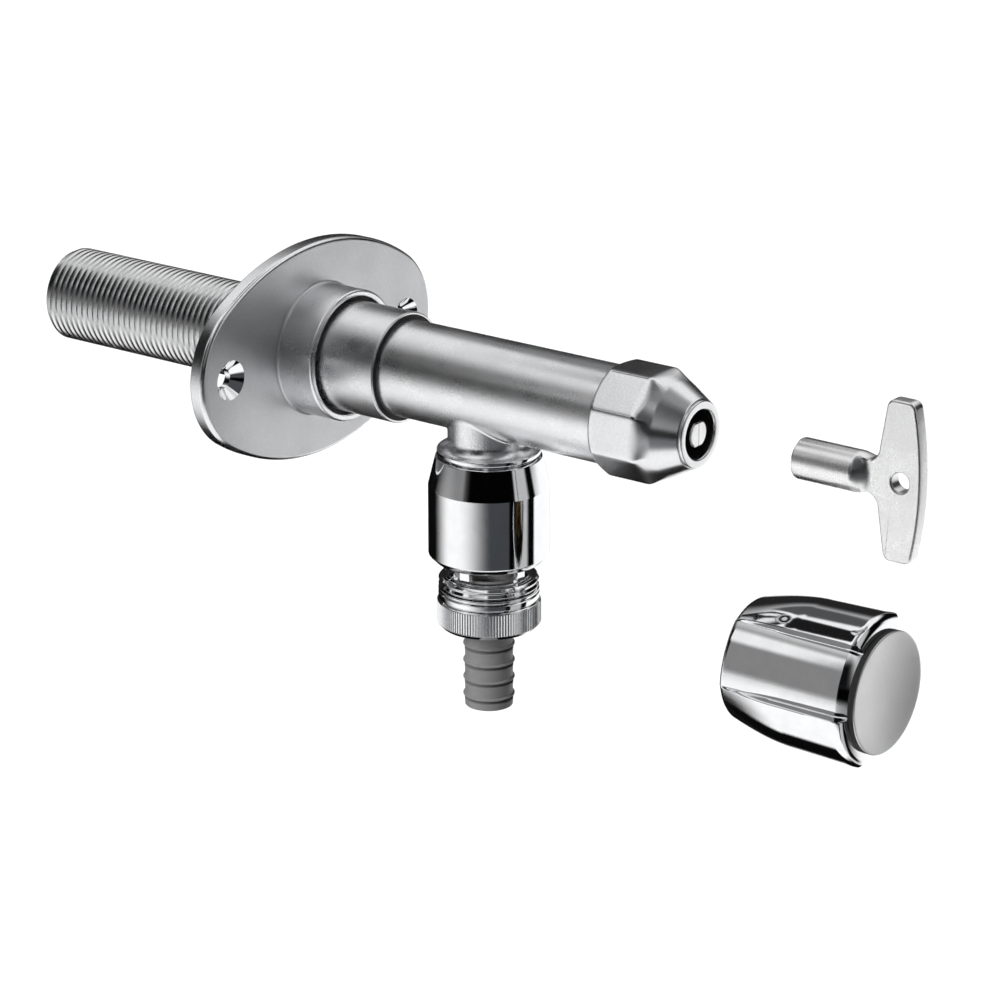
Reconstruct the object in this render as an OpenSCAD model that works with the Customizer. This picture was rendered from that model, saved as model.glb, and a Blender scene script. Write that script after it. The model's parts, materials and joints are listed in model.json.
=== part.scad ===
// Frost free sillcock: an outdoor wall tap whose valve sits at the warm end of its wall tube.
// The origin is the middle of the wall flange's back. The tap points along -Y, the wall tube runs
// along +Y and the outlet hangs along -Z. Lengths are in millimetres. Places along the tap's axis
// are given as s, the distance out of the wall, and places along the outlet as z.

/* [Fits] */
// Radial gap between pieces that are pressed or screwed together
fit = 0.05; // [0.02:0.01:0.08]
// Radial gap between pieces that turn or slide
run = 0.06; // [0.03:0.01:0.1]
// End gap between moving pieces that meet face to face
end_gap = 0.05; // [0.02:0.01:0.1]
// Radial gap between a screw thread and its nut
thread_gap = 0.1; // [0.05:0.01:0.2]

/* [Wall flange] */
// Width of the oval flange
flange_w = 107; // [100:1:130]
// Height of the oval flange
flange_h = 66; // [60:1:76]
// Radius of the oval's round ends
flange_end_r = 24; // [18:1:27]
// Thickness of the flange
flange_t = 5; // [4:0.5:8]
// Distance between the two wall screws
screw_spacing = 82; // [72:1:88]
// Diameter of the screw holes
screw_hole_d = 6; // [4:0.5:8]
// Diameter of the countersinks at the face
countersink_d = 12; // [9:0.5:14]
// Diameter of the hub
hub_d = 40; // [38:0.5:44]
// Length of the hub in front of the flange
hub_len = 13; // [11:0.5:20]
// Diameter of the hub's mouth
hub_mouth_d = 36; // [35:0.2:37]
// Radius of the fillet at the hub's foot
hub_fillet_r = 2.5; // [1:0.5:4]
// Radius of the hub's rounded lip
hub_lip_r = 1; // [0.4:0.1:1.4]

/* [Wall tube] */
// Length of the tube behind the wall's face
tube_len = 95; // [85:1:480]
// Diameter over the tube's thread
tube_d = 29; // [28:0.2:29.6]
// Bore of the tube
tube_bore_d = 24; // [23:0.2:25]
// Pitch of the tube's thread
tube_pitch = 2.2; // [1:0.1:2.5]
// Depth of the tube's thread
tube_thread_h = 0.8; // [0.4:0.1:1.2]
// Length of the tube inside the tap's socket
tube_grip = 20; // [12:0.5:24]
// Thickness of the seal in front of the tube
tube_seal_t = 1; // [0.6:0.1:2]

/* [Inlet and valve] */
// Bore of the supply thread in the inlet
inlet_d = 18.8; // [17:0.2:19.4]
// Depth of the supply thread
inlet_depth = 14; // [10:0.5:20]
// Thickness of the wall that carries the seat
seat_wall = 4; // [3.4:0.2:6]
// Bore of the valve seat
seat_d = 10; // [8:0.2:11]
// Height of the seat's lip
seat_lip_h = 1; // [0.5:0.1:2]
// Width of the seat's lip
seat_lip_w = 1.5; // [1:0.1:2]
// Section diameter of the O-rings
o_ring_d = 1.7; // [1.4:0.1:1.9]
// Diameter of the valve washer
washer_d = 15.2; // [14.8:0.1:16]
// Thickness of the valve washer
washer_t = 3; // [2:0.2:4]
// Diameter of the plug's core
plug_core_d = 13.2; // [12:0.2:14.4]
// Length of the plug
plug_len = 25; // [23:0.5:40]
// Width of the plug's three guide wings
wing_w = 3; // [2:0.2:4]
// Length of the guide wings
wing_len = 10; // [6:0.5:12]
// Wall of the slotted guide
guide_wall = 2.4; // [1.8:0.1:2.8]
// Distance from the tube's inner end to the spider
spider_ahead = 65; // [55:1:75]
// Thickness of the spider
spider_t = 6; // [4:0.5:10]
// Turns of the spindle from shut to open
valve_turns = 2.75; // [1:0.25:3]
// Lead of the spindle's thread
valve_pitch = 2; // [1.5:0.25:2.5]

/* [Tap body] */
// Diameter of the socket
socket_d = 33.4; // [32.6:0.2:34.4]
// Length of the socket
socket_len = 29; // [26:0.5:40]
// Length of the socket inside the hub
socket_in_hub = 9; // [6:0.5:10]
// Diameter of the barrel
barrel_d = 29; // [28:0.2:30]
// Length of the barrel in front of the socket
barrel_len = 78.5; // [70:0.5:110]
// Bore of the barrel
waterway_d = 22.4; // [18:0.2:23]
// Distance from the socket's front to the outlet's axis
outlet_ahead = 30.5; // [24:0.5:40]
// Diameter of the outlet's neck
branch_d = 24.2; // [22:0.2:26]
// Bore of the outlet's neck
branch_bore_d = 18; // [14:0.2:18.4]
// Diameter of the lip under the neck
lip_d = 30.6; // [29.4:0.2:33]
// Thickness of the lip
lip_t = 1.8; // [1.2:0.1:3]
// Drop of the lip's underside below the tap's axis
lip_drop = 20.5; // [20:0.5:26]

/* [Head] */
// Width across the flats of the octagonal head nut
nut_flats = 31.6; // [30.4:0.2:34]
// Length of the nut's flats at their corners
nut_len = 13.4; // [10:0.2:16]
// Length of the whole head in front of the barrel
head_len = 26.5; // [25:0.5:34]
// Diameter of the cone's small end
cone_end_d = 21; // [20.6:0.2:24]
// Diameter of the bright ring
ring_d = 19.5; // [18.6:0.1:20]
// Height of the ring in front of the cone
ring_proud = 1.7; // [0.6:0.1:2.4]
// Diameter of the recess round the spindle
recess_d = 14.4; // [13.6:0.2:15]
// Depth of the recess
recess_depth = 13; // [12:0.5:14]
// Diameter of the thread that screws into the barrel
spigot_d = 23.8; // [23:0.1:24.6]

/* [Spindle] */
// Diameter of the spindle
spindle_d = 8; // [7:0.1:8.4]
// Width across the two flats of its drive end
drive_flats = 7.2; // [6:0.1:7.6]
// Length of the drive end's flats
drive_len = 11; // [8:0.5:12]
// Set-back of the spindle's end from the ring's face
spindle_back = 0.6; // [0:0.1:2]
// Diameter of the spindle's collar
collar_d = 13; // [11:0.2:14]
// Thickness of the collar
collar_t = 3; // [2:0.2:4]
// Thickness of the thrust washer
thrust_t = 1; // [0.6:0.1:1.6]
// Thickness of the retainer behind the collar
retainer_t = 4; // [3:0.2:6]

/* [Vacuum breaker] */
// Diameter of the bell
bell_d = 35.8; // [34:0.2:40]
// Diameter of the bell's top edge
bell_top_d = 31.4; // [31:0.2:33]
// Drop of the bell's top edge below the lip
bell_gap = 0.6; // [0.3:0.1:0.9]
// Length of the bell's taper
bell_taper = 8.8; // [5:0.2:10]
// Length of the bell's straight part
bell_straight = 21; // [20:0.5:30]
// Length of the bell's lower chamfer
bell_chamfer = 2.1; // [1:0.1:3]
// Bore of the bell
bell_bore_d = 29.2; // [28:0.2:29.6]
// Bore of the ledge at the bell's foot
bell_foot_d = 27; // [26.9:0.1:27.4]
// Thickness of the ledge at the bell's foot
bell_ledge = 4.5; // [3:0.1:6]
// Length of the thread on the branch
branch_thread_len = 10.5; // [8:0.5:11]
// Thickness of the flat gaskets
gasket_t = 1; // [0.6:0.1:1.6]
// Thickness of the flange on top of the nipple
nipple_flange_t = 2.5; // [2:0.1:4]
// Diameter of the check valve's port
port_d = 13; // [10:0.2:14]
// Wire diameter of the check valve's spring
spring_wire = 0.7; // [0.5:0.05:0.8]
// Mean diameter of the spring
spring_d = 8; // [6.4:0.2:10]
// Turns of the spring
spring_turns = 3.5; // [2:0.5:3.5]
// Diameter of the nipple's vented neck
neck_d = 24; // [23.4:0.2:24.6]
// Bore of the nipple
nipple_bore_d = 20.6; // [19.8:0.2:21]
// Height of the vent windows
window_h = 4; // [3:0.1:4.4]
// Drop of the windows' top below the bell
window_drop = 0.6; // [0.2:0.1:1]
// Width of the webs between the windows
web_w = 3.4; // [2:0.2:6]
// Height of the vent float
float_h = 5; // [4.6:0.1:7]

/* [Hose union] */
// Diameter of the outlet's hose thread
hose_thread_d = 26.4; // [26:0.1:26.6]
// Pitch of the hose thread
hose_pitch = 1.814; // [1.5:0.001:2]
// Turns of the union nut from tight to loose
union_turns = 6; // [5:0.5:8]
// Diameter of the union nut's collar
union_d = 30; // [29.4:0.2:33]
// Diameter over the union nut's knurl
knurl_d = 31; // [30:0.2:34]
// Height of the knurl
knurl_h = 6.6; // [4:0.2:8]
// Height of the chamfer under the knurl
union_chamfer = 1.4; // [0.6:0.1:2]
// Height of the threaded collar above the union nut
collar_h = 3.6; // [2:0.2:5]
// Pitch of the collar's thread
collar_pitch = 1.8; // [1.2:0.1:2.4]
// Depth of the collar's thread
collar_thread_h = 0.8; // [0.3:0.1:1]
// Thickness of the union nut's floor
union_floor = 2; // [1.4:0.1:3]
// Thickness of the hose tail's flange
tail_flange_t = 1.5; // [1:0.1:3]
// Diameter of the hose tail's core
tail_d = 14.3; // [13.4:0.1:14.6]
// Diameter over the barbs
barb_d = 15.4; // [14.8:0.1:15.6]
// Bore of the hose tail
tail_bore_d = 10.4; // [8:0.2:11]
// Distance from the union nut to the first barb
barb_start = 5.9; // [3:0.1:10]
// Pitch of the barbs
barb_pitch = 5.35; // [4:0.05:7]
// Number of barbs
barb_count = 4; // [1:1:8]
// Length of the tip below the last barb
tail_tip = 3.4; // [2:0.1:8]

/* [Key] */
// Place of the key's open end, shown taken off
key_s = 176.5; // [165:0.5:220]
// Diameter of the key's tube
key_tube_d = 11.8; // [11:0.1:13]
// Length of the key's tube
key_tube_len = 18.5; // [17:0.5:30]
// Depth of the key's socket
key_socket_depth = 14; // [12:0.5:16]
// Length of the key between its tube and its handle
key_neck_len = 7.5; // [6:0.5:12]
// Height of the key's handle
key_h = 46; // [40:1:56]
// Length of the handle along the axis, in the middle
key_mid_len = 13.1; // [12:0.1:20]
// Length of the handle along the axis, at its ends
key_end_len = 8.2; // [6:0.1:10]
// Set-back of the handle's ends from its front
key_end_back = 2.6; // [1:0.1:4]
// Thickness of the handle
key_t = 4.5; // [3:0.1:6]
// Diameter of the key's ring hole
key_hole_d = 5.6; // [3:0.1:8]
// Distance from the handle's front to the ring hole
key_hole_back = 6.3; // [5:0.1:9]

/* [Knob] */
// Place of the knob's open end, shown taken off
knob_s = 162.3; // [150:0.5:200]
// Drop of the knob's axis below the tap's axis
knob_drop = 62.4; // [58:0.2:90]
// Diameter of the knob's core
knob_d = 35.6; // [34:0.2:38]
// Length of the knob's body
knob_len = 42.4; // [38:0.2:52]
// Diameter over the knob's lobes at the front
lobe_d = 45.2; // [44:0.2:50]
// Diameter over the lobes near the back
lobe_back_d = 43.2; // [39:0.2:43.8]
// Length of the rounded start of the lobes
lobe_start = 22; // [8:0.5:28]
// Angle that each lobe takes up
lobe_angle = 64; // [40:1:80]
// Turn of the first lobe from level
lobe_turn = 97; // [0:1:119]
// Bore of the knob's hollow
knob_bore_d = 31.2; // [28:0.2:32]
// How far the core draws in at its front
knob_draw = 1.2; // [0.4:0.1:2]
// Length of the slope at the core's front
knob_slope_len = 4; // [2:0.5:6]
// Thickness of the knob's front wall
knob_front = 8; // [7:0.2:10]
// Diameter of the knob's drive insert
insert_d = 13.6; // [12:0.2:14]
// Length of the drive insert
insert_len = 33.4; // [24:0.2:34]
// Depth of the insert's socket
insert_socket = 14; // [10:0.5:16]
// Diameter of the front disc
cap_d = 35.4; // [33:0.2:36]
// Thickness of the front disc
cap_t = 2; // [1:0.1:3]

/* [Hidden] */
$fn = 96;

// A small overlap that keeps cuts clean
eps = 0.01;
// Steps of a rounded corner in an outline
arc_steps = 6;
// Room that an O-ring's groove leaves along the axis
groove_play = 0.4;

// Places along the tap's axis
hub_s = flange_t + hub_len;
seat_s = hub_s - socket_in_hub;
socket_s = seat_s + socket_len;
barrel_s = socket_s + barrel_len;
outlet_s = socket_s + outlet_ahead;
ring_s = barrel_s + head_len;
cone_end_s = ring_s - ring_proud;
tube_end_s = seat_s + tube_grip;
shoulder_s = tube_end_s + tube_seal_t;

// Inlet and valve
tube_back_s = -tube_len;
seat_face_s = tube_back_s + inlet_depth + seat_wall;
seat_lip_s = seat_face_s + seat_lip_h;
plug_travel = valve_turns * valve_pitch;
// Set-back of the wings from the plug's back, and the guide's spare length in front of them
wing_set_back = 2;
guide_spare = 1.5;
plug_back_s = seat_lip_s + end_gap + washer_t;
plug_front_s = plug_back_s + plug_len;
wing_back_s = plug_back_s + wing_set_back;
wing_front_s = wing_back_s + wing_len;
guide_front_s = wing_front_s + plug_travel + guide_spare;
plug_screw_d = 3;
plug_screw_len = 5;
// Wall between the washer's screw and the spindle's bore, and the room left behind the spindle
plug_web = 2;
spindle_spare = 0.3;
plug_bore_back_s = plug_back_s + plug_screw_len + plug_web;
spindle_back_s = plug_bore_back_s + plug_travel + spindle_spare;
washer_rim = 0.9;
washer_rim_h = 1.8;
spider_s = tube_back_s + spider_ahead;
spider_hub_wall = 2;
spider_hub_d = spindle_d + 2 * spider_hub_wall;

// Head: the collar runs between a retainer and a thrust washer
head_sink = 5;
spigot_spare = 0.4;
collar_room = 1;
gland_wall = 5.5;
head_shoulder_s = barrel_s - head_sink;
collar_front_s = head_shoulder_s - thrust_t - end_gap;
collar_back_s = collar_front_s - collar_t;
retainer_front_s = collar_back_s - end_gap;
retainer_back_s = retainer_front_s - retainer_t;
spigot_back_s = retainer_back_s - spigot_spare;
collar_room_d = collar_d + 2 * collar_room;
gland_front_s = ring_s - recess_depth;
gland_back_s = head_shoulder_s + gland_wall;
gland_len = gland_front_s - gland_back_s;
// Places of the gland's two O-rings, as shares of the bush's length
gland_ring_share = [0.3, 0.7];
ring_ledge = 0.8;
ring_spigot_d = ring_d - 2 * ring_ledge;
ring_spigot_len = 4;
head_seal_t = 1;
head_seal_out = 0.8;
head_seal_in = 0.3;
head_groove_d = barrel_d - 2 * head_seal_out;
head_groove_inner_d = spigot_d + 2 * head_seal_in;
spindle_front_s = ring_s - spindle_back;

// Outlet: heights below the tap's axis
lip_z = -lip_drop;
bell_top_z = lip_z - bell_gap;
bell_crease_z = bell_top_z - bell_taper;
bell_low_z = bell_crease_z - bell_straight;
bell_foot_z = bell_low_z - bell_chamfer;
bell_ledge_z = bell_foot_z + bell_ledge;
branch_end_z = lip_z - branch_thread_len;
cartridge_top_z = branch_end_z - gasket_t;
cartridge_t = 2.5;
port_z = cartridge_top_z - cartridge_t;
nipple_top_z = bell_ledge_z + nipple_flange_t;
cartridge_foot_t = 2;
cartridge_foot_z = nipple_top_z + cartridge_foot_t;
inner_d = bell_bore_d - 2 * fit;
poppet_seal_t = 0.8;
poppet_top_z = port_z - end_gap - poppet_seal_t;
poppet_t = 1.5;
poppet_low_z = poppet_top_z - poppet_t;
poppet_overlap = 1.8;
poppet_d = port_d + 2 * poppet_overlap;
poppet_stem_d = 3;
boss_gap = 2;
poppet_boss_d = port_d - 2 * boss_gap;
spring_top_z = poppet_low_z - end_gap;
spring_low_z = cartridge_foot_z + end_gap;
window_top_z = bell_foot_z - window_drop;
window_low_z = window_top_z - window_h;
// Sill under the windows, and the thread's length past the union nut's travel
window_sill = 0.3;
thread_spare = 0.4;
hose_thread_len = union_turns * hose_pitch + thread_spare;
hose_thread_z = window_low_z - window_sill;
nipple_end_z = hose_thread_z - hose_thread_len;
// The float clears the windows by this much at both ends of its travel
float_clear = 0.2;
float_top_stop_z = window_top_z + float_clear;
float_rest_top_z = window_low_z - float_clear;
float_rest_low_z = float_rest_top_z - float_h;
float_ledge_z = float_rest_low_z - end_gap;
float_ledge_w = 1.8;
nipple_low_bore_d = nipple_bore_d - 2 * float_ledge_w;
float_d = nipple_bore_d - 2 * run;
float_lip = 0.7;
float_bore_d = nipple_low_bore_d - 2 * float_lip;

// Hose union
collar_low_z = hose_thread_z - collar_h;
union_gap = 0.2;
union_top_z = collar_low_z - union_gap;
hose_gasket_z = nipple_end_z - end_gap;
tail_top_z = hose_gasket_z - gasket_t;
tail_flange_low_z = tail_top_z - tail_flange_t;
union_floor_z = tail_flange_low_z - end_gap;
union_low_z = union_floor_z - union_floor;
knurl_low_z = union_low_z + union_chamfer;
knurl_top_z = knurl_low_z + knurl_h;
tail_flange_gap = 0.5;
tail_flange_d = hose_thread_d - 2 * tail_flange_gap;
tail_low_z = union_low_z - barb_start - (barb_count - 1) * barb_pitch - tail_tip;

// Key and knob
key_handle_u = key_tube_len + key_neck_len;
key_front_u = key_handle_u + key_mid_len;
key_fillet_r = 4;
key_neck_step = 1.2;
key_neck_half = key_tube_d / 2 - key_neck_step;
key_end_u = key_front_u - key_end_back;
key_socket_d = spindle_d + 2 * run;
cap_lip_step = 3;
cap_lip_d = knob_bore_d - 2 * cap_lip_step;
cap_lip_t = 1;
knob_screw_d = 4;
knob_screw_head_d = 7.6;
knob_screw_head_h = 3.2;
knob_screw_len = 12;
knob_screw_play = 0.3;
knob_screw_sink = 0.2;

// Turns an upright shape so that its height runs out of the wall
module tap_axis() {
    rotate([90, 0, 0]) children();
}

// Puts an upright shape on the outlet's axis
module outlet_axis() {
    translate([0, -outlet_s, 0]) children();
}

// Puts a shape on the knob's axis, measured from the knob's open end
module knob_axis() {
    translate([0, -knob_s, -knob_drop]) rotate([90, 0, 0]) children();
}

// A round ring or disc between two heights
module ring(outer_d, inner_d, low, high) {
    difference() {
        translate([0, 0, low]) cylinder(d = outer_d, h = high - low);
        translate([0, 0, low - eps]) cylinder(d = inner_d, h = high - low + 2 * eps);
    }
}

// A plain round bar between two heights
module bar(d, low, high) {
    translate([0, 0, low]) cylinder(d = d, h = high - low);
}

// A round O-ring whose section is centred at the given radius and height
module o_ring(mid_r, height) {
    translate([0, 0, height]) rotate_extrude() translate([mid_r, 0]) circle(d = o_ring_d, $fn = 32);
}

// Points of a quarter round from one angle to another
function arc(cx, cy, r, from, to) =
    [for (i = [0 : arc_steps]) let (a = from + (to - from) * i / arc_steps)
        [cx + r * cos(a), cy + r * sin(a)]];

// Outline of a round bar with two flats
module drive_outline(d, flats) {
    intersection() {
        circle(d = d);
        square([d, flats], center = true);
    }
}

// Oval of four tangent arcs: round ends joined by two long arcs
module oval() {
    mid_x = flange_w / 2 - flange_end_r;
    half_h = flange_h / 2;
    side_r = (mid_x * mid_x + half_h * half_h - flange_end_r * flange_end_r)
        / (2 * (half_h - flange_end_r));
    tangent_x = mid_x * side_r / (side_r - flange_end_r);
    for (side = [-1, 1]) translate([side * mid_x, 0]) circle(r = flange_end_r);
    intersection() {
        translate([0, half_h - side_r]) circle(r = side_r, $fn = 360);
        translate([0, side_r - half_h]) circle(r = side_r, $fn = 360);
        square([2 * tangent_x, flange_h], center = true);
    }
}

// Threaded tube that goes through the wall
module wall_tube() {
    crest_r = tube_d / 2;
    plain_end = 1;
    teeth = floor((tube_len - 2 * plain_end) / tube_pitch);
    thread = [for (i = [0 : 2 * teeth])
        [crest_r - (i % 2 == 0 ? tube_thread_h : 0), tube_back_s + plain_end + i * tube_pitch / 2]];
    color("gainsboro") tap_axis() rotate_extrude() polygon(concat(
        [[tube_bore_d / 2, tube_back_s], [crest_r - tube_thread_h, tube_back_s]],
        thread,
        [[crest_r, 0], [crest_r, tube_end_s], [tube_bore_d / 2, tube_end_s]]));
}

// Inlet fitting in the tube's end: supply thread, seat and its lip
module inlet_seat() {
    groove_w = o_ring_d + groove_play;
    groove_low = seat_face_s - seat_wall / 2 - groove_w / 2;
    groove_d = tube_bore_d - 2 * o_ring_d - 4 * fit;
    color("darkkhaki") tap_axis() difference() {
        union() {
            bar(tube_bore_d - 2 * fit, tube_back_s, seat_face_s);
            bar(seat_d + 2 * seat_lip_w, seat_face_s - eps, seat_lip_s);
        }
        bar(inlet_d, tube_back_s - eps, tube_back_s + inlet_depth);
        bar(seat_d, tube_back_s, seat_lip_s + eps);
        ring(tube_bore_d, groove_d, groove_low, groove_low + groove_w);
    }
}

// Seal between the inlet fitting and the tube
module inlet_o_ring() {
    color("black") tap_axis() o_ring(tube_bore_d / 2 - fit - o_ring_d / 2, seat_face_s - seat_wall / 2);
}

// Guide sleeve with three slots that keep the plug from turning
module plug_guide() {
    outer_d = tube_bore_d - 2 * fit;
    slot_w = wing_w + 2 * run;
    color("peru") tap_axis() difference() {
        ring(outer_d, outer_d - 2 * guide_wall, seat_face_s, guide_front_s);
        for (a = [90, 210, 330]) rotate(a) translate([0, -slot_w / 2, plug_back_s])
            cube([outer_d, slot_w, guide_front_s - plug_back_s + eps]);
    }
}

// Spider that centres the spindle in the tube and lets the water through
module spindle_spider() {
    outer_d = tube_bore_d - 2 * fit;
    rim = 1.6;
    spoke_w = 2.4;
    color("whitesmoke") tap_axis() translate([0, 0, spider_s]) linear_extrude(spider_t) difference() {
        circle(d = outer_d);
        difference() {
            circle(d = outer_d - 2 * rim);
            circle(d = spider_hub_d);
            for (a = [90, 210, 330]) rotate(a) translate([0, -spoke_w / 2]) square([outer_d, spoke_w]);
        }
        circle(d = spindle_d + 2 * run);
    }
}

// Oval wall flange with its hub and countersunk screw holes
module wall_flange() {
    hub_r = hub_d / 2;
    foot_r = hub_r + hub_fillet_r;
    sink_h = (countersink_d - screw_hole_d) / 2;
    color("lightgray") tap_axis() difference() {
        union() {
            linear_extrude(flange_t) oval();
            rotate_extrude() polygon(concat(
                [[0, 0], [foot_r, 0]],
                arc(foot_r, flange_t + hub_fillet_r, hub_fillet_r, 270, 180),
                arc(hub_r - hub_lip_r, hub_s - hub_lip_r, hub_lip_r, 0, 90),
                [[0, hub_s]]));
        }
        bar(tube_d + 2 * thread_gap, -eps, hub_s);
        bar(hub_mouth_d, seat_s, hub_s + eps);
        for (side = [-1, 1]) translate([side * screw_spacing / 2, 0, 0]) {
            bar(screw_hole_d, -eps, flange_t + eps);
            translate([0, 0, flange_t - sink_h])
                cylinder(d1 = screw_hole_d, d2 = countersink_d, h = sink_h + eps);
        }
    }
}

// Black ring in the hub's mouth round the socket
module hub_seal() {
    set_back = 1.5;
    foot_gap = 2;
    color("black") tap_axis()
        ring(hub_mouth_d - 2 * fit, socket_d + 2 * fit, seat_s + foot_gap, hub_s - set_back);
}

// Tap body: socket, barrel, and the branch with its lip and thread
module tap_body() {
    socket_r = socket_d / 2;
    edge = 0.8;
    flare_r = (lip_d - branch_d) / 2;
    lip_top_z = lip_z + lip_t;
    color("silver") difference() {
        union() {
            tap_axis() rotate_extrude() polygon([
                [0, seat_s], [socket_r, seat_s], [socket_r, socket_s - edge], [socket_r - edge, socket_s],
                [barrel_d / 2, socket_s], [barrel_d / 2, barrel_s], [0, barrel_s]]);
            outlet_axis() rotate_extrude() polygon(concat(
                [[0, 0], [branch_d / 2, 0]],
                arc(lip_d / 2, lip_top_z + flare_r, flare_r, 180, 270),
                [[lip_d / 2, lip_z], [bell_bore_d / 2 - thread_gap, lip_z],
                 [bell_bore_d / 2 - thread_gap, branch_end_z], [0, branch_end_z]]));
        }
        tap_axis() {
            bar(tube_d + 2 * thread_gap, seat_s - eps, shoulder_s);
            bar(waterway_d, seat_s, barrel_s);
            bar(spigot_d + 2 * thread_gap, spigot_back_s, barrel_s + eps);
        }
        outlet_axis() bar(branch_bore_d, branch_end_z - eps, 0);
    }
}

// Flat seal between the tube's front and the socket's shoulder
module tube_seal() {
    color("black") tap_axis() ring(tube_d, tube_bore_d, tube_end_s, shoulder_s);
}

// Octagonal head nut with its cone and the thread that screws into the barrel
module head_nut() {
    sides = 8;
    half_side = 180 / sides;
    corner_r = nut_flats / 2 / cos(half_side);
    cone_s = barrel_s + nut_len;
    back_edge = 0.6;
    over = 0.4;
    cone_run = (cone_end_s - cone_s) / (corner_r - cone_end_d / 2);
    color("lightgray") tap_axis() difference() {
        union() {
            intersection() {
                translate([0, 0, barrel_s]) rotate(half_side)
                    cylinder(r = corner_r, h = head_len, $fn = sides);
                rotate_extrude() polygon([
                    [0, barrel_s], [corner_r - back_edge, barrel_s],
                    [corner_r + over, barrel_s + back_edge + over],
                    [corner_r + over, cone_s - over * cone_run], [cone_end_d / 2, cone_end_s],
                    [0, cone_end_s]]);
            }
            bar(spigot_d, spigot_back_s, barrel_s + eps);
        }
        bar(collar_room_d, spigot_back_s - eps, head_shoulder_s);
        bar(spindle_d + 2 * run, spigot_back_s, ring_s);
        bar(recess_d, gland_back_s, ring_s);
        bar(ring_spigot_d + 2 * fit, cone_end_s - ring_spigot_len, ring_s);
        ring(head_groove_d, head_groove_inner_d, barrel_s - eps, barrel_s + head_seal_t);
    }
}

// Flat seal under the head nut
module head_seal() {
    color("black") tap_axis()
        ring(head_groove_d - 2 * fit, head_groove_inner_d + 2 * fit, barrel_s, barrel_s + head_seal_t);
}

// Heights of the two O-rings in the gland
function gland_ring_s(index) = gland_back_s + gland_len * gland_ring_share[index];

// Gland bush that seals the spindle
module gland_bush() {
    groove_w = o_ring_d + groove_play;
    groove_d = spindle_d + 2 * run + 2 * o_ring_d;
    color("goldenrod") tap_axis() difference() {
        bar(recess_d - 2 * fit, gland_back_s, gland_front_s);
        bar(spindle_d + 2 * run, gland_back_s - eps, gland_front_s + eps);
        for (i = [0, 1])
            bar(groove_d, gland_ring_s(i) - groove_w / 2, gland_ring_s(i) + groove_w / 2);
    }
}

// O-ring of the gland on the water's side
module gland_o_ring_inner() {
    color("black") tap_axis() o_ring(spindle_d / 2 + run + o_ring_d / 2, gland_ring_s(0));
}

// O-ring of the gland on the key's side
module gland_o_ring_outer() {
    color("black") tap_axis() o_ring(spindle_d / 2 + run + o_ring_d / 2, gland_ring_s(1));
}

// Bright ring round the recess
module gland_ring() {
    edge = 0.4;
    color("white") tap_axis() rotate_extrude() polygon([
        [recess_d / 2, cone_end_s - ring_spigot_len], [ring_spigot_d / 2, cone_end_s - ring_spigot_len],
        [ring_spigot_d / 2, cone_end_s], [ring_d / 2, cone_end_s], [ring_d / 2, ring_s - edge],
        [ring_d / 2 - edge, ring_s], [recess_d / 2 + edge, ring_s], [recess_d / 2, ring_s - edge]]);
}

// Washer that takes the collar's push
module thrust_washer() {
    color("whitesmoke") tap_axis()
        ring(collar_room_d - 2 * fit, spindle_d + 4 * run, head_shoulder_s - thrust_t, head_shoulder_s);
}

// Pressed ring that holds the collar in the head
module spindle_retainer() {
    color("goldenrod") tap_axis()
        ring(collar_room_d - 2 * fit, spindle_d + 2 * run, retainer_back_s, retainer_front_s);
}

// Spindle: inner thread, long shaft, collar, and a drive end with two flats and a fine slot
module spindle() {
    slot_w = 0.6;
    slot_h = 0.5;
    drive_s = spindle_front_s - drive_len;
    color("whitesmoke") tap_axis() difference() {
        union() {
            bar(spindle_d, spindle_back_s, drive_s);
            bar(collar_d, collar_back_s, collar_front_s);
            translate([0, 0, drive_s]) linear_extrude(drive_len) drive_outline(spindle_d, drive_flats);
        }
        translate([-slot_w / 2, -spindle_d, spindle_front_s - slot_h])
            cube([slot_w, 2 * spindle_d, 2 * slot_h]);
    }
}

// Valve plug: threaded core, three guide wings and a cup for the washer
module valve_plug() {
    cup_d = washer_d + 2 * washer_rim;
    cup_floor = 1.6;
    wing_gap = 0.8;
    wing_r = tube_bore_d / 2 - wing_gap;
    color("goldenrod") tap_axis() difference() {
        union() {
            bar(plug_core_d, plug_back_s, plug_front_s);
            bar(cup_d, plug_back_s - washer_rim_h, plug_back_s + cup_floor);
            for (a = [90, 210, 330]) rotate(a) translate([0, -wing_w / 2, wing_back_s])
                cube([wing_r, wing_w, wing_len]);
        }
        bar(washer_d + 2 * fit, plug_back_s - washer_rim_h - eps, plug_back_s);
        bar(plug_screw_d + 2 * fit, plug_back_s - eps, plug_back_s + plug_screw_len);
        bar(spindle_d + 2 * run, plug_bore_back_s, plug_front_s + eps);
    }
}

// Rubber washer that shuts the seat
module plug_washer() {
    color("black") tap_axis()
        ring(washer_d, plug_screw_d + 2 * fit, plug_back_s - washer_t, plug_back_s);
}

// Screw that holds the washer
module washer_screw() {
    head_d = 6;
    head_h = 1.6;
    end_room = 0.4;
    color("goldenrod") tap_axis() {
        bar(plug_screw_d, plug_back_s - washer_t - eps, plug_back_s + plug_screw_len - end_room);
        bar(head_d, plug_back_s - washer_t - head_h, plug_back_s - washer_t);
    }
}

// Bell of the vacuum breaker
module breaker_housing() {
    foot_d = bell_d - 2 * bell_chamfer;
    color("silver") outlet_axis() rotate_extrude() polygon([
        [bell_bore_d / 2, bell_top_z], [bell_top_d / 2, bell_top_z], [bell_d / 2, bell_crease_z],
        [bell_d / 2, bell_low_z], [foot_d / 2, bell_foot_z], [bell_foot_d / 2, bell_foot_z],
        [bell_foot_d / 2, bell_ledge_z], [bell_bore_d / 2, bell_ledge_z]]);
}

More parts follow.
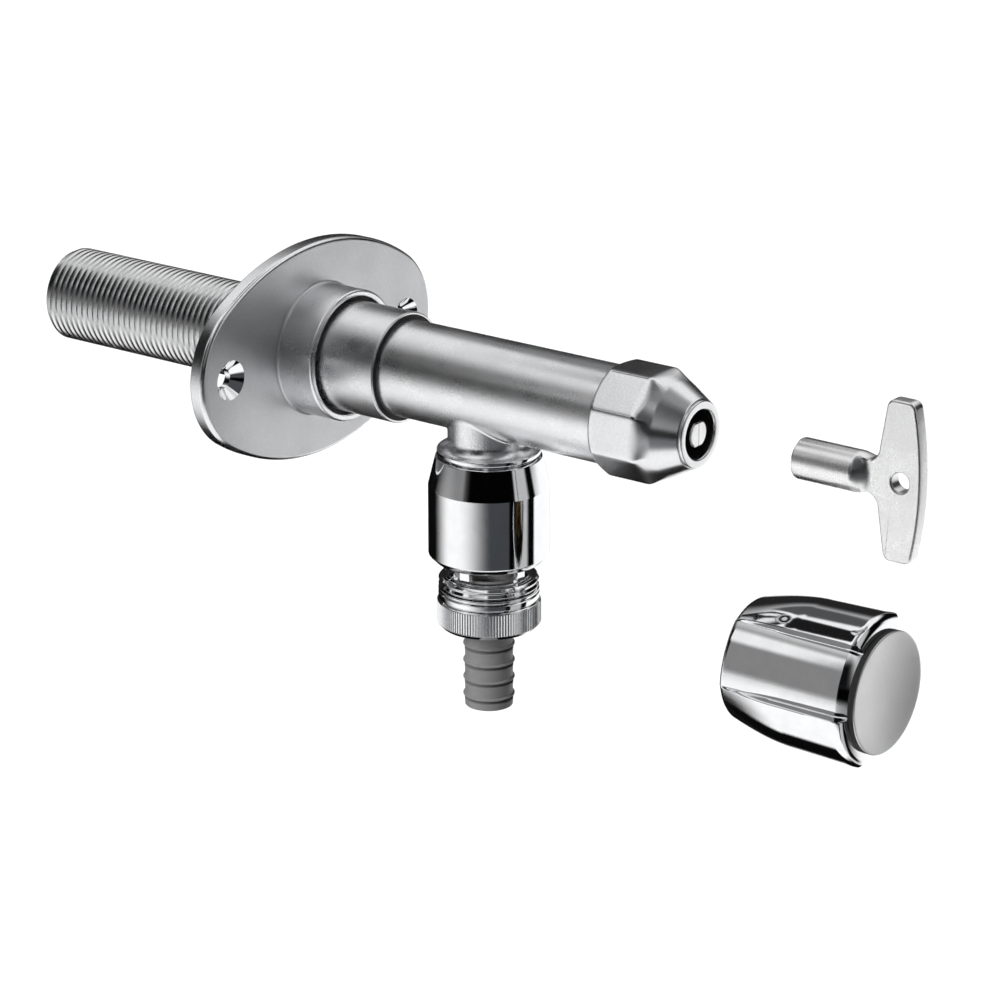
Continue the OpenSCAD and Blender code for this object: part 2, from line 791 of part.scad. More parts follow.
// Gasket under the branch's thread
module housing_gasket() {
    color("black") outlet_axis() ring(inner_d, branch_bore_d, cartridge_top_z, branch_end_z);
}

// Check valve's cartridge: port plate, legs, and a foot that guides the stem
module check_cartridge() {
    leg_t = 2;
    leg_w = 6;
    spoke_w = 2.4;
    hub_w = 6;
    color("whitesmoke") outlet_axis() difference() {
        union() {
            ring(inner_d, port_d, port_z, cartridge_top_z);
            ring(inner_d, inner_d - 2 * leg_t, nipple_top_z, cartridge_foot_z);
            bar(hub_w, nipple_top_z, cartridge_foot_z);
            for (a = [45, 135]) rotate(a) translate([-inner_d / 2 + leg_t / 2, -spoke_w / 2, nipple_top_z])
                cube([inner_d - leg_t, spoke_w, cartridge_foot_t]);
            intersection() {
                ring(inner_d, inner_d - 2 * leg_t, nipple_top_z, port_z + eps);
                for (a = [45, 135]) rotate(a) translate([-inner_d, -leg_w / 2, nipple_top_z])
                    cube([2 * inner_d, leg_w, port_z - nipple_top_z + eps]);
            }
        }
        bar(poppet_stem_d + 2 * run, nipple_top_z - eps, cartridge_foot_z + eps);
    }
}

// Check valve's poppet with its stem
module check_poppet() {
    stem_room = 0.4;
    color("white") outlet_axis() {
        bar(poppet_d, poppet_low_z, poppet_top_z);
        bar(poppet_boss_d, poppet_top_z - eps, poppet_top_z + poppet_seal_t);
        bar(poppet_stem_d, nipple_top_z + stem_room, poppet_low_z + eps);
    }
}

// Seal on the poppet
module poppet_seal() {
    edge_step = 0.2;
    color("black") outlet_axis()
        ring(poppet_d - 2 * edge_step, poppet_boss_d + 2 * fit, poppet_top_z, poppet_top_z + poppet_seal_t);
}

// Rings of the spring's wire in one turn
spring_steps = 24;
// Points along the spring's wire, from its foot to its top
function spring_points() =
    let (low = spring_low_z + spring_wire / 2, high = spring_top_z - spring_wire / 2)
    let (steps = spring_turns * spring_steps)
    [for (i = [0 : steps]) let (a = 360 * spring_turns * i / steps)
        [spring_d / 2 * cos(a), spring_d / 2 * sin(a), low + (high - low) * i / steps]];

// Least gap between neighbouring turns of the spring, measured on its points
spring_path = spring_points();
spring_last = len(spring_path) - 1;
spring_apart = spring_steps * 3 / 4;
spring_gap = min([for (i = [0 : spring_last]) for (j = [i + spring_apart : 1 : spring_last])
    norm(spring_path[i] - spring_path[j])]) - spring_wire;
echo(spring_gap = spring_gap);

// Check valve's spring: one wire wound round the stem
module check_spring() {
    sides = 6;
    rings = len(spring_path);
    ring_points = [for (p = spring_path) let (out = [p[0], p[1], 0] / norm([p[0], p[1]]))
        for (k = [0 : sides - 1])
            p + spring_wire / 2 * (cos(360 * k / sides) * out + sin(360 * k / sides) * [0, 0, 1])];
    walls = [for (i = [0 : rings - 2]) for (k = [0 : sides - 1]) let (n = (k + 1) % sides)
        each [[i * sides + k, i * sides + n, (i + 1) * sides + n],
              [i * sides + k, (i + 1) * sides + n, (i + 1) * sides + k]]];
    foot = [for (k = [1 : sides - 2]) [0, k + 1, k]];
    last = (rings - 1) * sides;
    top = [for (k = [1 : sides - 2]) [last, last + k, last + k + 1]];
    color("gray") outlet_axis() polyhedron(ring_points, concat(walls, foot, top));
}

// Nipple under the bell: flange, vented neck and hose thread
module outlet_nipple() {
    window_room = neck_d / 2;
    color("silver") outlet_axis() difference() {
        union() {
            bar(inner_d, bell_ledge_z, nipple_top_z);
            bar(neck_d, hose_thread_z, bell_ledge_z + eps);
            bar(hose_thread_d, nipple_end_z, hose_thread_z + eps);
        }
        bar(nipple_bore_d, float_ledge_z, nipple_top_z + eps);
        bar(nipple_low_bore_d, nipple_end_z - eps, nipple_top_z);
        for (a = [0 : 90 : 270]) rotate(a) translate([web_w / 2, web_w / 2, window_low_z])
            cube([window_room, window_room, window_h]);
    }
}

// Sleeve that stops the vent float's rise
module float_stop() {
    color("whitesmoke") outlet_axis()
        ring(nipple_bore_d - 2 * fit, nipple_low_bore_d, float_top_stop_z, nipple_top_z);
}

// Ring that lifts under flow and shuts the vent windows
module vent_float() {
    color("white") outlet_axis() ring(float_d, float_bore_d, float_rest_low_z, float_rest_top_z);
}

// Threaded collar on the nipple above the union nut
module vent_collar() {
    crest_r = union_d / 2;
    inner_r = hose_thread_d / 2 + thread_gap;
    teeth = floor(collar_h / collar_pitch);
    thread = [for (i = [0 : 2 * teeth])
        [crest_r - (i % 2 == 0 ? collar_thread_h : 0), hose_thread_z - i * collar_pitch / 2]];
    color("silver") outlet_axis() rotate_extrude() polygon(concat(
        [[inner_r, collar_low_z], [inner_r, hose_thread_z]],
        thread,
        [[crest_r - collar_thread_h, collar_low_z]]));
}

// Union nut with its collar and knurl band
module union_nut() {
    collar_r = union_d / 2;
    knurl_r = knurl_d / 2;
    knurl_edge = 0.3;
    tail_play = 0.35;
    floor_hole_d = barb_d + 2 * tail_play;
    color("silver") outlet_axis() difference() {
        rotate_extrude() polygon([
            [0, union_top_z], [collar_r, union_top_z], [collar_r, knurl_top_z + knurl_edge],
            [knurl_r, knurl_top_z], [knurl_r, knurl_low_z], [knurl_r - union_chamfer, union_low_z],
            [0, union_low_z]]);
        bar(hose_thread_d + 2 * thread_gap, union_floor_z, union_top_z + eps);
        bar(floor_hole_d, union_low_z - eps, union_top_z);
    }
}

// Barbed hose tail
module hose_tail() {
    core_r = tail_d / 2;
    barb_r = barb_d / 2;
    tip_round = 1.2;
    barb_edge = 0.3;
    barb_taper = barb_pitch * 0.6;
    barbs = [for (i = [0 : barb_count - 1]) let (edge_z = union_low_z - barb_start - i * barb_pitch)
        each [[core_r, edge_z + barb_edge], [barb_r, edge_z], [core_r, edge_z - barb_taper]]];
    color("dimgray") outlet_axis() rotate_extrude() polygon(concat(
        [[tail_bore_d / 2, tail_low_z], [tail_bore_d / 2, tail_top_z], [tail_flange_d / 2, tail_top_z],
         [tail_flange_d / 2, tail_flange_low_z], [core_r, tail_flange_low_z]],
        barbs,
        arc(core_r - tip_round, tail_low_z + tip_round, tip_round, 0, -90)));
}

// Gasket between the nipple and the hose tail
module hose_gasket() {
    bore_step = 0.8;
    color("black") outlet_axis()
        ring(tail_flange_d, tail_bore_d + 2 * bore_step, tail_top_z, hose_gasket_z);
}

// Outline of one half of the key's handle: along the axis, then out to its end
module key_half() {
    end_r = 2.4;
    bulge = 1;
    half_h = key_h / 2;
    end_low_u = key_end_u - key_end_len;
    foot_u = key_handle_u - key_fillet_r;
    foot_v = key_neck_half + key_fillet_r;
    difference() {
        union() {
            polygon([
                [key_tube_len, 0], [key_tube_len, key_neck_half], [foot_u, key_neck_half], [foot_u, foot_v],
                [key_handle_u, foot_v], [end_low_u, half_h - end_r], [end_low_u + end_r, half_h],
                [key_end_u - end_r, half_h], [key_end_u, half_h - end_r], [key_front_u + bulge, 0]]);
            translate([end_low_u + end_r, half_h - end_r]) circle(r = end_r);
            translate([key_end_u - end_r, half_h - end_r]) circle(r = end_r);
        }
        translate([foot_u, foot_v]) circle(r = key_fillet_r);
    }
}

// Flat key with a tube whose socket fits the spindle's flats
module socket_key() {
    half_h = key_h / 2;
    front_r = (half_h * half_h + key_end_back * key_end_back) / (2 * key_end_back);
    hole_u = key_front_u - key_hole_back;
    slab = 0.5;
    neck_u = key_handle_u - key_fillet_r;
    color("lightgray") translate([0, -key_s, 0]) difference() {
        union() {
            rotate([90, 0, 0]) bar(key_tube_d, 0, key_tube_len);
            hull() {
                rotate([90, 0, 0]) bar(key_tube_d, key_tube_len - slab, key_tube_len, $fn = 32);
                translate([-key_t / 2, -neck_u - 2 * slab, -key_neck_half])
                    cube([key_t, slab, 2 * key_neck_half]);
            }
            rotate([0, 0, -90]) rotate([90, 0, 0]) translate([0, 0, -key_t / 2]) linear_extrude(key_t)
                intersection() {
                    union() {
                        key_half();
                        mirror([0, 1]) key_half();
                    }
                    translate([key_front_u - front_r, 0]) circle(r = front_r, $fn = 360);
                }
        }
        rotate([90, 0, 0]) translate([0, 0, -eps]) linear_extrude(key_socket_depth)
            drive_outline(key_socket_d, drive_flats + 2 * run);
        translate([0, -hole_u, 0]) rotate([0, 90, 0])
            cylinder(d = key_hole_d, h = 2 * key_t, center = true);
    }
}

// Hollow knob with three lobes that widen towards its front
module knob_shell() {
    core_r = knob_d / 2;
    back_r = lobe_back_d / 2;
    sector_r = lobe_d;
    half = lobe_angle / 2;
    edge = 1.2;
    screw_head_low = knob_len - cap_lip_t - knob_screw_sink - knob_screw_head_h;
    lobe_profile = concat(
        [[0, 0]],
        [for (i = [0 : arc_steps]) let (t = i / arc_steps)
            [core_r + (back_r - core_r) * sin(90 * t), lobe_start * t]],
        arc(lobe_d / 2 - edge, knob_len - edge, edge, 0, 90),
        [[0, knob_len]]);
    color("silver") knob_axis() difference() {
        union() {
            rotate_extrude() polygon([
                [0, 0], [core_r, 0], [core_r, knob_len - knob_slope_len],
                [core_r - knob_draw, knob_len], [0, knob_len]]);
            intersection() {
                rotate_extrude() polygon(lobe_profile);
                for (a = [0, 120, 240]) rotate(lobe_turn + a) linear_extrude(knob_len) polygon([
                    [0, 0], sector_r * [cos(half), -sin(half)], [sector_r, 0],
                    sector_r * [cos(half), sin(half)]]);
            }
        }
        bar(knob_bore_d, -eps, knob_len - knob_front);
        bar(knob_screw_d + 2 * fit, 0, knob_len + eps);
        bar(knob_screw_head_d + 2 * knob_screw_play, screw_head_low, knob_len + eps);
        bar(cap_lip_d + 2 * fit, knob_len - cap_lip_t, knob_len + eps);
    }
}

// Drive insert in the knob's hollow
module knob_insert() {
    insert_back = knob_len - knob_front - insert_len;
    color("goldenrod") knob_axis() difference() {
        bar(insert_d, insert_back, insert_back + insert_len);
        translate([0, 0, insert_back - eps]) linear_extrude(insert_socket)
            drive_outline(key_socket_d, drive_flats + 2 * run);
        bar(knob_screw_d + 2 * fit, insert_back, insert_back + insert_len + eps);
    }
}

// Screw that joins the insert to the shell
module knob_screw() {
    head_top = knob_len - cap_lip_t - knob_screw_sink;
    head_low = head_top - knob_screw_head_h;
    color("gray") knob_axis() {
        bar(knob_screw_head_d, head_low, head_top);
        bar(knob_screw_d, head_low - knob_screw_len + knob_screw_head_h, head_low + eps);
    }
}

// Satin disc on the knob's front
module knob_cap() {
    color("darkgray") knob_axis() {
        bar(cap_d, knob_len, knob_len + cap_t);
        bar(cap_lip_d, knob_len - cap_lip_t, knob_len + eps);
    }
}

wall_tube();
inlet_seat();
inlet_o_ring();
plug_guide();
spindle_spider();
wall_flange();
hub_seal();
tap_body();
tube_seal();
head_nut();
head_seal();
gland_bush();
gland_o_ring_inner();
gland_o_ring_outer();
gland_ring();
thrust_washer();
spindle_retainer();
spindle();
valve_plug();
plug_washer();
washer_screw();
breaker_housing();
housing_gasket();
check_cartridge();
check_poppet();
poppet_seal();
check_spring();
outlet_nipple();
float_stop();
vent_float();
vent_collar();
union_nut();
hose_tail();
hose_gasket();
socket_key();
knob_shell();
knob_insert();
knob_screw();
knob_cap();
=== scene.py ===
"""Frost free sillcock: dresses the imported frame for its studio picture.

Sizes are in millimetres until a mesh is made. In names and comments, s is the distance in front
of the wall, z the height, and u the distance from the back of the key.
"""

import json
import logging
import math
from dataclasses import dataclass
from enum import Enum
from typing import Callable, Optional, Sequence

import bmesh
import bpy
import numpy as np
from bpy.types import ID, Material, Mesh, Node, NodeSocket, NodeTree, Object
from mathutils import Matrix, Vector


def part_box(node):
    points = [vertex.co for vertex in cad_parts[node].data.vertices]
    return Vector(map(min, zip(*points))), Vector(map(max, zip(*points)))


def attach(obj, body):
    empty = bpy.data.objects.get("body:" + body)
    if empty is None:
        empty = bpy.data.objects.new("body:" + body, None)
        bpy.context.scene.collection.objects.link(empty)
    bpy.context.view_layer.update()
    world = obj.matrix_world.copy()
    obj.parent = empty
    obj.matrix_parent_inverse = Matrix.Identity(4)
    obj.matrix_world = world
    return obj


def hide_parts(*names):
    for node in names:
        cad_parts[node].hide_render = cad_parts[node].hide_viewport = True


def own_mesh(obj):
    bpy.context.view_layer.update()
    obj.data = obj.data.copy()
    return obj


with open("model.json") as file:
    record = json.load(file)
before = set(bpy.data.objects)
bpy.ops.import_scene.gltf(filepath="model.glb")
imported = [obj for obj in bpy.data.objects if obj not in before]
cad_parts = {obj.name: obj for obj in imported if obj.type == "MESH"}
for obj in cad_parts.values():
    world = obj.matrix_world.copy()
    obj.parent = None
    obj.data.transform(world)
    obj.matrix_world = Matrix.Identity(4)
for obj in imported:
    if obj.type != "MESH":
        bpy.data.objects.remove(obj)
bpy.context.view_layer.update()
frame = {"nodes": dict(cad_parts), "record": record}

LOG = logging.getLogger("sillcock")
MM = 0.001
TINY = 1e-6
FULL_TURN = 2 * math.pi
QUARTER_TURN = math.pi / 2

# Radii of the small rounds on edges, and how many pieces each round has
KEEN, CRISP, BROKEN, EASED, LIPPED, SOFT = 0.1, 0.15, 0.2, 0.3, 0.35, 0.5
ROUND_STEPS = 6
# How far a wall stands clear of another, or sinks into it, where the two would coincide
TOUCH, HAIR, THIN, CLEAR = 0.01, 0.02, 0.05, 0.1
# Pieces round a drilled hole, a small turned piece and a large one
HOLE_SEGMENTS, SEGMENTS, FINE_SEGMENTS = 64, 192, 256
# The least angle of a sharp edge, in degrees
SHARP_ANGLE = 32.0
# Points on each turn of a thread
THREAD_STEPS = 96

Point = tuple[float, float, float]
Corner = tuple[float, float, float]
Shell = tuple[np.ndarray, np.ndarray]
Rows = Sequence[tuple[np.ndarray, float | np.ndarray]]


# Shapes

@dataclass(frozen=True)
class Axis:
    """A line that turned pieces lie on, with its two cross directions."""

    origin: Point
    across: Point
    up: Point
    along: Point

    def place(self, local: np.ndarray) -> np.ndarray:
        """Puts points given as across, up and along into the frame."""
        return np.asarray(self.origin) + local @ np.array((self.across, self.up, self.along))


def level_axis(x: float = 0, y: float = 0, z: float = 0) -> Axis:
    """Gives the axis that comes straight out of the wall through a point."""
    return Axis((x, y, z), (1, 0, 0), (0, 0, 1), (0, -1, 0))


def centre_of(node: str) -> Point:
    """Gives the middle of a CAD node's box in millimetres."""
    low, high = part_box(node)
    return tuple((low[i] + high[i]) / 2 / MM for i in range(3))


TAP = level_axis()
KNOB = level_axis(y=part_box("knob_shell")[1][1] / MM, z=centre_of("knob_cap")[2])
KEY = level_axis(y=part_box("socket_key")[1][1] / MM)
OUTLET = Axis((0, centre_of("breaker_housing")[1], 0), (1, 0, 0), (0, 1, 0), (0, 0, 1))


def directions(count: int) -> np.ndarray:
    """Gives even directions round a circle, in radians."""
    return np.linspace(0, FULL_TURN, count, endpoint=False)


def flat(half: float, lean: np.ndarray) -> np.ndarray:
    """Gives the reach to a flat, by its half width and each direction's sine or cosine."""
    return half / np.maximum(abs(lean), TINY)


def round_corners(corners: Sequence[Corner]) -> np.ndarray:
    """Rounds the corners of a closed outline.

    Args:
        corners: the outline's corners, each with its own radius.

    Returns:
        The points of the rounded outline, two numbers each.
    """
    points, most_of_side, straight = [], 0.49, 1e-3
    for i, (x, y, radius) in enumerate(corners):
        here = np.array((x, y))
        back = np.array(corners[i - 1][:2]) - here
        ahead = np.array(corners[(i + 1) % len(corners)][:2]) - here
        back_len, ahead_len = np.linalg.norm(back), np.linalg.norm(ahead)
        back, ahead = back / back_len, ahead / ahead_len
        half = math.acos(float(np.clip(back @ ahead, -1, 1))) / 2
        if radius <= 0 or abs(half - QUARTER_TURN) < straight:
            points.append(here)
            continue
        reach = min(radius / math.tan(half), most_of_side * back_len, most_of_side * ahead_len)
        middle = back + ahead
        centre = here + middle / np.linalg.norm(middle) * reach / math.cos(half)
        first, last = here + back * reach - centre, here + ahead * reach - centre
        sweep = math.pi - 2 * half
        for k in range(ROUND_STEPS + 1):
            t = k / ROUND_STEPS
            arm = math.sin((1 - t) * sweep) * first + math.sin(t * sweep) * last
            points.append(centre + arm / math.sin(sweep))
    return np.array(points)


def loops(axis: Axis, radii: np.ndarray, places: np.ndarray,
          shift: float | np.ndarray = 0.0) -> np.ndarray:
    """Makes loops of points about an axis.

    Args:
        axis: the line that the loops go round.
        radii: loops x points.
        places: how far along the axis, loops x points or loops x 1.
        shift: how far each point is moved round the axis from its even place, in radians.

    Returns:
        Points in the frame, loops x points x 3.
    """
    turn = directions(radii.shape[1]) + shift
    local = np.stack((radii * np.cos(turn), radii * np.sin(turn),
                      np.broadcast_to(places, radii.shape)), axis=-1)
    return axis.place(local)


def skin(rows: np.ndarray, wrap: bool = True) -> Shell:
    """Joins loops of points into faces.

    Args:
        rows: loops x points x 3.
        wrap: whether the last loop joins the first.

    Returns:
        The points, and the corners of each face.
    """
    index = np.arange(rows.shape[0] * rows.shape[1]).reshape(rows.shape[:2])
    beside = np.roll(index, -1, axis=1)
    over, both = np.roll(index, -1, axis=0), np.roll(beside, -1, axis=0)
    faces = np.stack((index, beside, both, over), axis=-1)
    return rows.reshape(-1, 3), (faces if wrap else faces[:-1]).reshape(-1, 4)


def lofted(axis: Axis, rows: Rows, wrap: bool = True, shift: float | np.ndarray = 0.0) -> Shell:
    """Joins loops that each have their own radii.

    Args:
        axis: the line that the loops go round.
        rows: each loop's radii, and its place along the axis, one for all or one for each point.
        wrap: whether the last loop joins the first.
        shift: how far each point is moved round the axis, in radians.

    Returns:
        The points, and the corners of each face.
    """
    radii = np.array([r for r, _ in rows])
    places = np.array([place for _, place in rows]).reshape(len(rows), -1)
    return skin(loops(axis, radii, places, shift), wrap)


def turned(axis: Axis, corners: Sequence[Corner], segments: int = SEGMENTS) -> Shell:
    """Turns a closed outline of radius and place about an axis."""
    outline = round_corners(corners)
    return skin(loops(axis, np.repeat(outline[:, :1], segments, axis=1), outline[:, 1:]))


def block(low: Sequence[float], high: Sequence[float]) -> Shell:
    """Makes a box.

    Args:
        low: its lowest corner.
        high: its highest corner.

    Returns:
        The points, and the corners of each face.
    """
    x, y, z = zip(low, high)
    rows = np.array([[(x[0], y[0], h), (x[1], y[0], h), (x[1], y[1], h), (x[0], y[1], h)]
                     for h in z])
    points, faces = skin(rows, wrap=False)
    return points, np.concatenate((faces, [[0, 1, 2, 3], [4, 5, 6, 7]]))


def soft_least(a: np.ndarray, b: np.ndarray, blend: float) -> np.ndarray:
    """Takes the lesser of two surfaces, rounded over where they meet."""
    h = np.maximum(blend - np.abs(a - b), 0) / blend
    return np.minimum(a, b) - h * h * blend / 4


def ease(t: np.ndarray) -> np.ndarray:
    """Goes from 0 to 1 with a smooth start and end."""
    t = np.clip(t, 0, 1)
    return t * t * (3 - 2 * t)


# Objects and their meshes

def put(name: str, data: ID) -> Object:
    """Makes an object and links it to the scene.

    Args:
        name: the object's name.
        data: its mesh, lamp or camera.

    Returns:
        The object.
    """
    thing = bpy.data.objects.new(name, data)
    bpy.context.scene.collection.objects.link(thing)
    return thing


def mend(mesh: Mesh, merge: bool = False, fill: bool = False) -> None:
    """Turns the faces of a mesh outwards.

    Args:
        mesh: the mesh.
        merge: whether points in one place are merged first.
        fill: whether open ends are closed first.
    """
    work = bmesh.new()
    work.from_mesh(mesh)
    if merge:
        bmesh.ops.remove_doubles(work, verts=work.verts, dist=TINY)
    if fill:
        bmesh.ops.holes_fill(work, edges=[e for e in work.edges if e.is_boundary])
    bmesh.ops.recalc_face_normals(work, faces=work.faces)
    work.to_mesh(mesh)
    work.free()


def solid(name: str, shells: Sequence[Shell]) -> Object:
    """Makes one object of closed shells, with its faces outwards.

    Args:
        name: the piece's name.
        shells: points in millimetres with their faces.

    Returns:
        The object, linked to the scene.
    """
    points, faces, start = [], [], 0
    for shell_points, shell_faces in shells:
        points.append(shell_points)
        faces.append(shell_faces + start)
        start += len(shell_points)
    mesh = bpy.data.meshes.new(name)
    mesh.from_pydata((np.concatenate(points) * MM).tolist(), [], np.concatenate(faces).tolist())
    mend(mesh, merge=True)
    return put(name, mesh)


def settle(piece: Object) -> Object:
    """Turns a piece with modifiers into a plain mesh.

    Args:
        piece: the piece.

    Returns:
        The same piece.
    """
    graph = bpy.context.evaluated_depsgraph_get()
    mesh = bpy.data.meshes.new_from_object(
        piece.evaluated_get(graph), preserve_all_data_layers=True, depsgraph=graph)
    old = piece.data
    piece.modifiers.clear()
    piece.data = mesh
    bpy.data.meshes.remove(old)
    mesh.name = piece.name
    return piece


def cut(piece: Object, cutters: Sequence[Object]) -> None:
    """Takes cutters out of a piece.

    Args:
        piece: the piece.
        cutters: what is taken out of it, and then removed.
    """
    for cutter in cutters:
        knife = piece.modifiers.new("cut", "BOOLEAN")
        knife.object, knife.operation, knife.solver = cutter, "DIFFERENCE", "EXACT"
    settle(piece)
    for cutter in cutters:
        bpy.data.objects.remove(cutter)


def smooth(piece: Object, sharp: float) -> None:
    """Shades a piece smooth between its sharp edges, with flat faces kept flat.

    Args:
        piece: the piece to shade.
        sharp: the least angle of a sharp edge, in degrees.
    """
    piece.data.shade_smooth()
    piece.data.set_sharp_from_angle(angle=math.radians(sharp))
    even = piece.modifiers.new("even", "WEIGHTED_NORMAL")
    even.keep_sharp = True
    settle(piece)


def join(piece: Object, other: Object) -> None:
    """Adds another object's mesh to a piece.

    Args:
        piece: the piece.
        other: the object whose mesh is added, and which is then removed.
    """
    work = bmesh.new()
    for part in (piece, other):
        work.from_mesh(part.data)
    work.to_mesh(piece.data)
    work.free()
    bpy.data.objects.remove(other)


# Trees of Geometry Nodes

def add_node(tree: NodeTree, kind: str, settings: Optional[dict] = None,
             links: Optional[dict] = None) -> Node:
    """Adds a node to a tree.

    Args:
        tree: the material's or geometry's tree.
        kind: the node's type.
        settings: the node's own properties.
        links: for each input, by name or number, another node's output or a value.

    Returns:
        The new node.
    """
    node = tree.nodes.new(kind)
    for key, value in (settings or {}).items():
        setattr(node, key, value)
    for key, value in (links or {}).items():
        if isinstance(value, NodeSocket):
            tree.links.new(value, node.inputs[key])
        else:
            node.inputs[key].default_value = value
    return node


class Tree(Enum):
    """The rules that make what repeats."""

    THREAD = "thread_ridge"
    KNURL = "knurl_ridges"


TREE_INPUTS = {
    Tree.THREAD: ("Radius", "Pitch", "Turns", "Height", "Base", "Crest"),
    Tree.KNURL: ("Radius", "Count", "Ridge", "Length"),
}


def start_tree(rule: Tree) -> tuple[NodeTree, Node]:
    """Makes a tree with its named inputs.

    Args:
        rule: which tree is made.

    Returns:
        The tree, and the node that holds its inputs.
    """
    tree = bpy.data.node_groups.new(rule.value, "GeometryNodeTree")
    tree.interface.new_socket("Geometry", in_out="OUTPUT", socket_type="NodeSocketGeometry")
    for name in TREE_INPUTS[rule]:
        kind = "NodeSocketInt" if name == "Count" else "NodeSocketFloat"
        tree.interface.new_socket(name, in_out="INPUT", socket_type=kind)
    tree.interface.new_socket("Material", in_out="INPUT", socket_type="NodeSocketMaterial")
    return tree, add_node(tree, "NodeGroupInput")


def end_tree(tree: NodeTree, inputs: Node, geometry: NodeSocket) -> None:
    """Ends a tree in plain geometry with its material.

    Args:
        tree: the tree.
        inputs: the node that holds its inputs.
        geometry: what the tree has made.
    """
    real = add_node(tree, "GeometryNodeRealizeInstances", links={"Geometry": geometry})
    dressed = add_node(tree, "GeometryNodeSetMaterial", links={
        "Geometry": real.outputs["Geometry"], "Material": inputs.outputs["Material"]})
    add_node(tree, "NodeGroupOutput", links={"Geometry": dressed.outputs["Geometry"]})


def thread_tree() -> NodeTree:
    """Makes the tree that sweeps a ridge along a helix about Z.

    Returns:
        The tree.
    """
    tree, inputs = start_tree(Tree.THREAD)
    size = inputs.outputs
    rise = add_node(tree, "ShaderNodeMath", {"operation": "MULTIPLY"}, {
        0: size["Pitch"], 1: size["Turns"]})
    helix = add_node(tree, "GeometryNodeCurveSpiral", links={
        "Resolution": THREAD_STEPS, "Rotations": size["Turns"], "Start Radius": size["Radius"],
        "End Radius": size["Radius"], "Height": rise.outputs[0]})
    upright = add_node(tree, "GeometryNodeSetCurveNormal", {"mode": "Z_UP"}, {
        "Curve": helix.outputs["Curve"]})
    ridge = add_node(tree, "GeometryNodeCurvePrimitiveQuadrilateral", {"mode": "TRAPEZOID"}, {
        "Height": size["Height"], "Bottom Width": size["Base"], "Top Width": size["Crest"],
        "Offset": 0.0})
    # The curve's normal points at the axis, so out of the tube is the profile's negative X
    half = add_node(tree, "ShaderNodeMath", {"operation": "MULTIPLY"}, {
        0: size["Height"], 1: -0.5})
    lift = add_node(tree, "ShaderNodeCombineXYZ", links={"X": half.outputs[0]})
    outward = add_node(tree, "GeometryNodeTransform", links={
        "Geometry": ridge.outputs["Curve"], "Translation": lift.outputs["Vector"],
        "Rotation": (0.0, 0.0, QUARTER_TURN)})
    swept = add_node(tree, "GeometryNodeCurveToMesh", links={
        "Curve": upright.outputs["Curve"], "Profile Curve": outward.outputs["Geometry"],
        "Fill Caps": True})
    end_tree(tree, inputs, swept.outputs["Mesh"])
    return tree


def knurl_tree() -> NodeTree:
    """Makes the tree that sets upright ridges round Z, from its origin up.

    Returns:
        The tree.
    """
    tree, inputs = start_tree(Tree.KNURL)
    size = inputs.outputs
    circle = add_node(tree, "GeometryNodeMeshCircle", links={
        "Vertices": size["Count"], "Radius": size["Radius"]})
    bulk = add_node(tree, "ShaderNodeCombineXYZ", links={
        "X": size["Ridge"], "Y": size["Ridge"], "Z": size["Length"]})
    bar = add_node(tree, "GeometryNodeMeshCube", links={"Size": bulk.outputs["Vector"]})
    edge_on = add_node(tree, "GeometryNodeTransform", links={
        "Geometry": bar.outputs["Mesh"], "Rotation": (0.0, 0.0, math.pi / 4)})
    spot = add_node(tree, "GeometryNodeInputPosition")
    facing = add_node(tree, "FunctionNodeAlignRotationToVector", {
        "axis": "X", "pivot_axis": "Z"}, {"Vector": spot.outputs["Position"]})
    set_out = add_node(tree, "GeometryNodeInstanceOnPoints", links={
        "Points": circle.outputs["Mesh"], "Instance": edge_on.outputs["Geometry"],
        "Rotation": facing.outputs["Rotation"]})
    middle = add_node(tree, "ShaderNodeMath", {"operation": "MULTIPLY"}, {
        0: size["Length"], 1: 0.5})
    height = add_node(tree, "ShaderNodeCombineXYZ", links={"Z": middle.outputs[0]})
    raised = add_node(tree, "GeometryNodeTransform", links={
        "Geometry": set_out.outputs["Instances"], "Translation": height.outputs["Vector"]})
    end_tree(tree, inputs, raised.outputs["Geometry"])
    return tree


def grow(name: str, tree: NodeTree, sizes: dict, axis: Axis, along: float,
         material: Material) -> Object:
    """Runs a tree and gives its result as a plain mesh on an axis.

    Args:
        name: the new object's name.
        tree: the tree to run.
        sizes: the value of each named input, lengths in metres.
        axis: the line that the tree's Z lies on.
        along: where the tree's origin sits on that line, in millimetres.
        material: the material of what grows.

    Returns:
        The object.
    """
    piece = put(name, bpy.data.meshes.new(name))
    grower = piece.modifiers.new("grow", "NODES")
    grower.node_group = tree
    for socket in tree.interface.items_tree:
        if socket.in_out == "INPUT":
            is_material = socket.name == "Material"
            grower[socket.identifier] = material if is_material else sizes[socket.name]
    settle(piece)
    spots = np.empty(len(piece.data.vertices) * 3)
    piece.data.vertices.foreach_get("co", spots)
    local = spots.reshape(-1, 3) / MM + np.array((0, 0, along))
    piece.data.vertices.foreach_set("co", (axis.place(local) * MM).ravel())
    mend(piece.data)
    return piece


# Finishes

def linear(code: str) -> tuple[float, float, float, float]:
    """Turns an sRGB hex colour to linear light."""
    parts = [int(code[i:i + 2], 16) / 255 for i in (1, 3, 5)]
    return (*(p / 12.92 if p <= 0.04045 else ((p + 0.055) / 1.055) ** 2.4 for p in parts), 1.0)


def shader_of(material: Material) -> Node:
    """Gives the shader of a material."""
    return material.node_tree.nodes["Principled BSDF"]


class Work(Enum):
    """How a metal's surface was made."""

    POLISHED = "polished"
    BLASTED = "blasted"
    TURNED = "turned"


# Nearly all of a noise lies between these values
NOISE_LOW, NOISE_HIGH = 0.3, 0.7


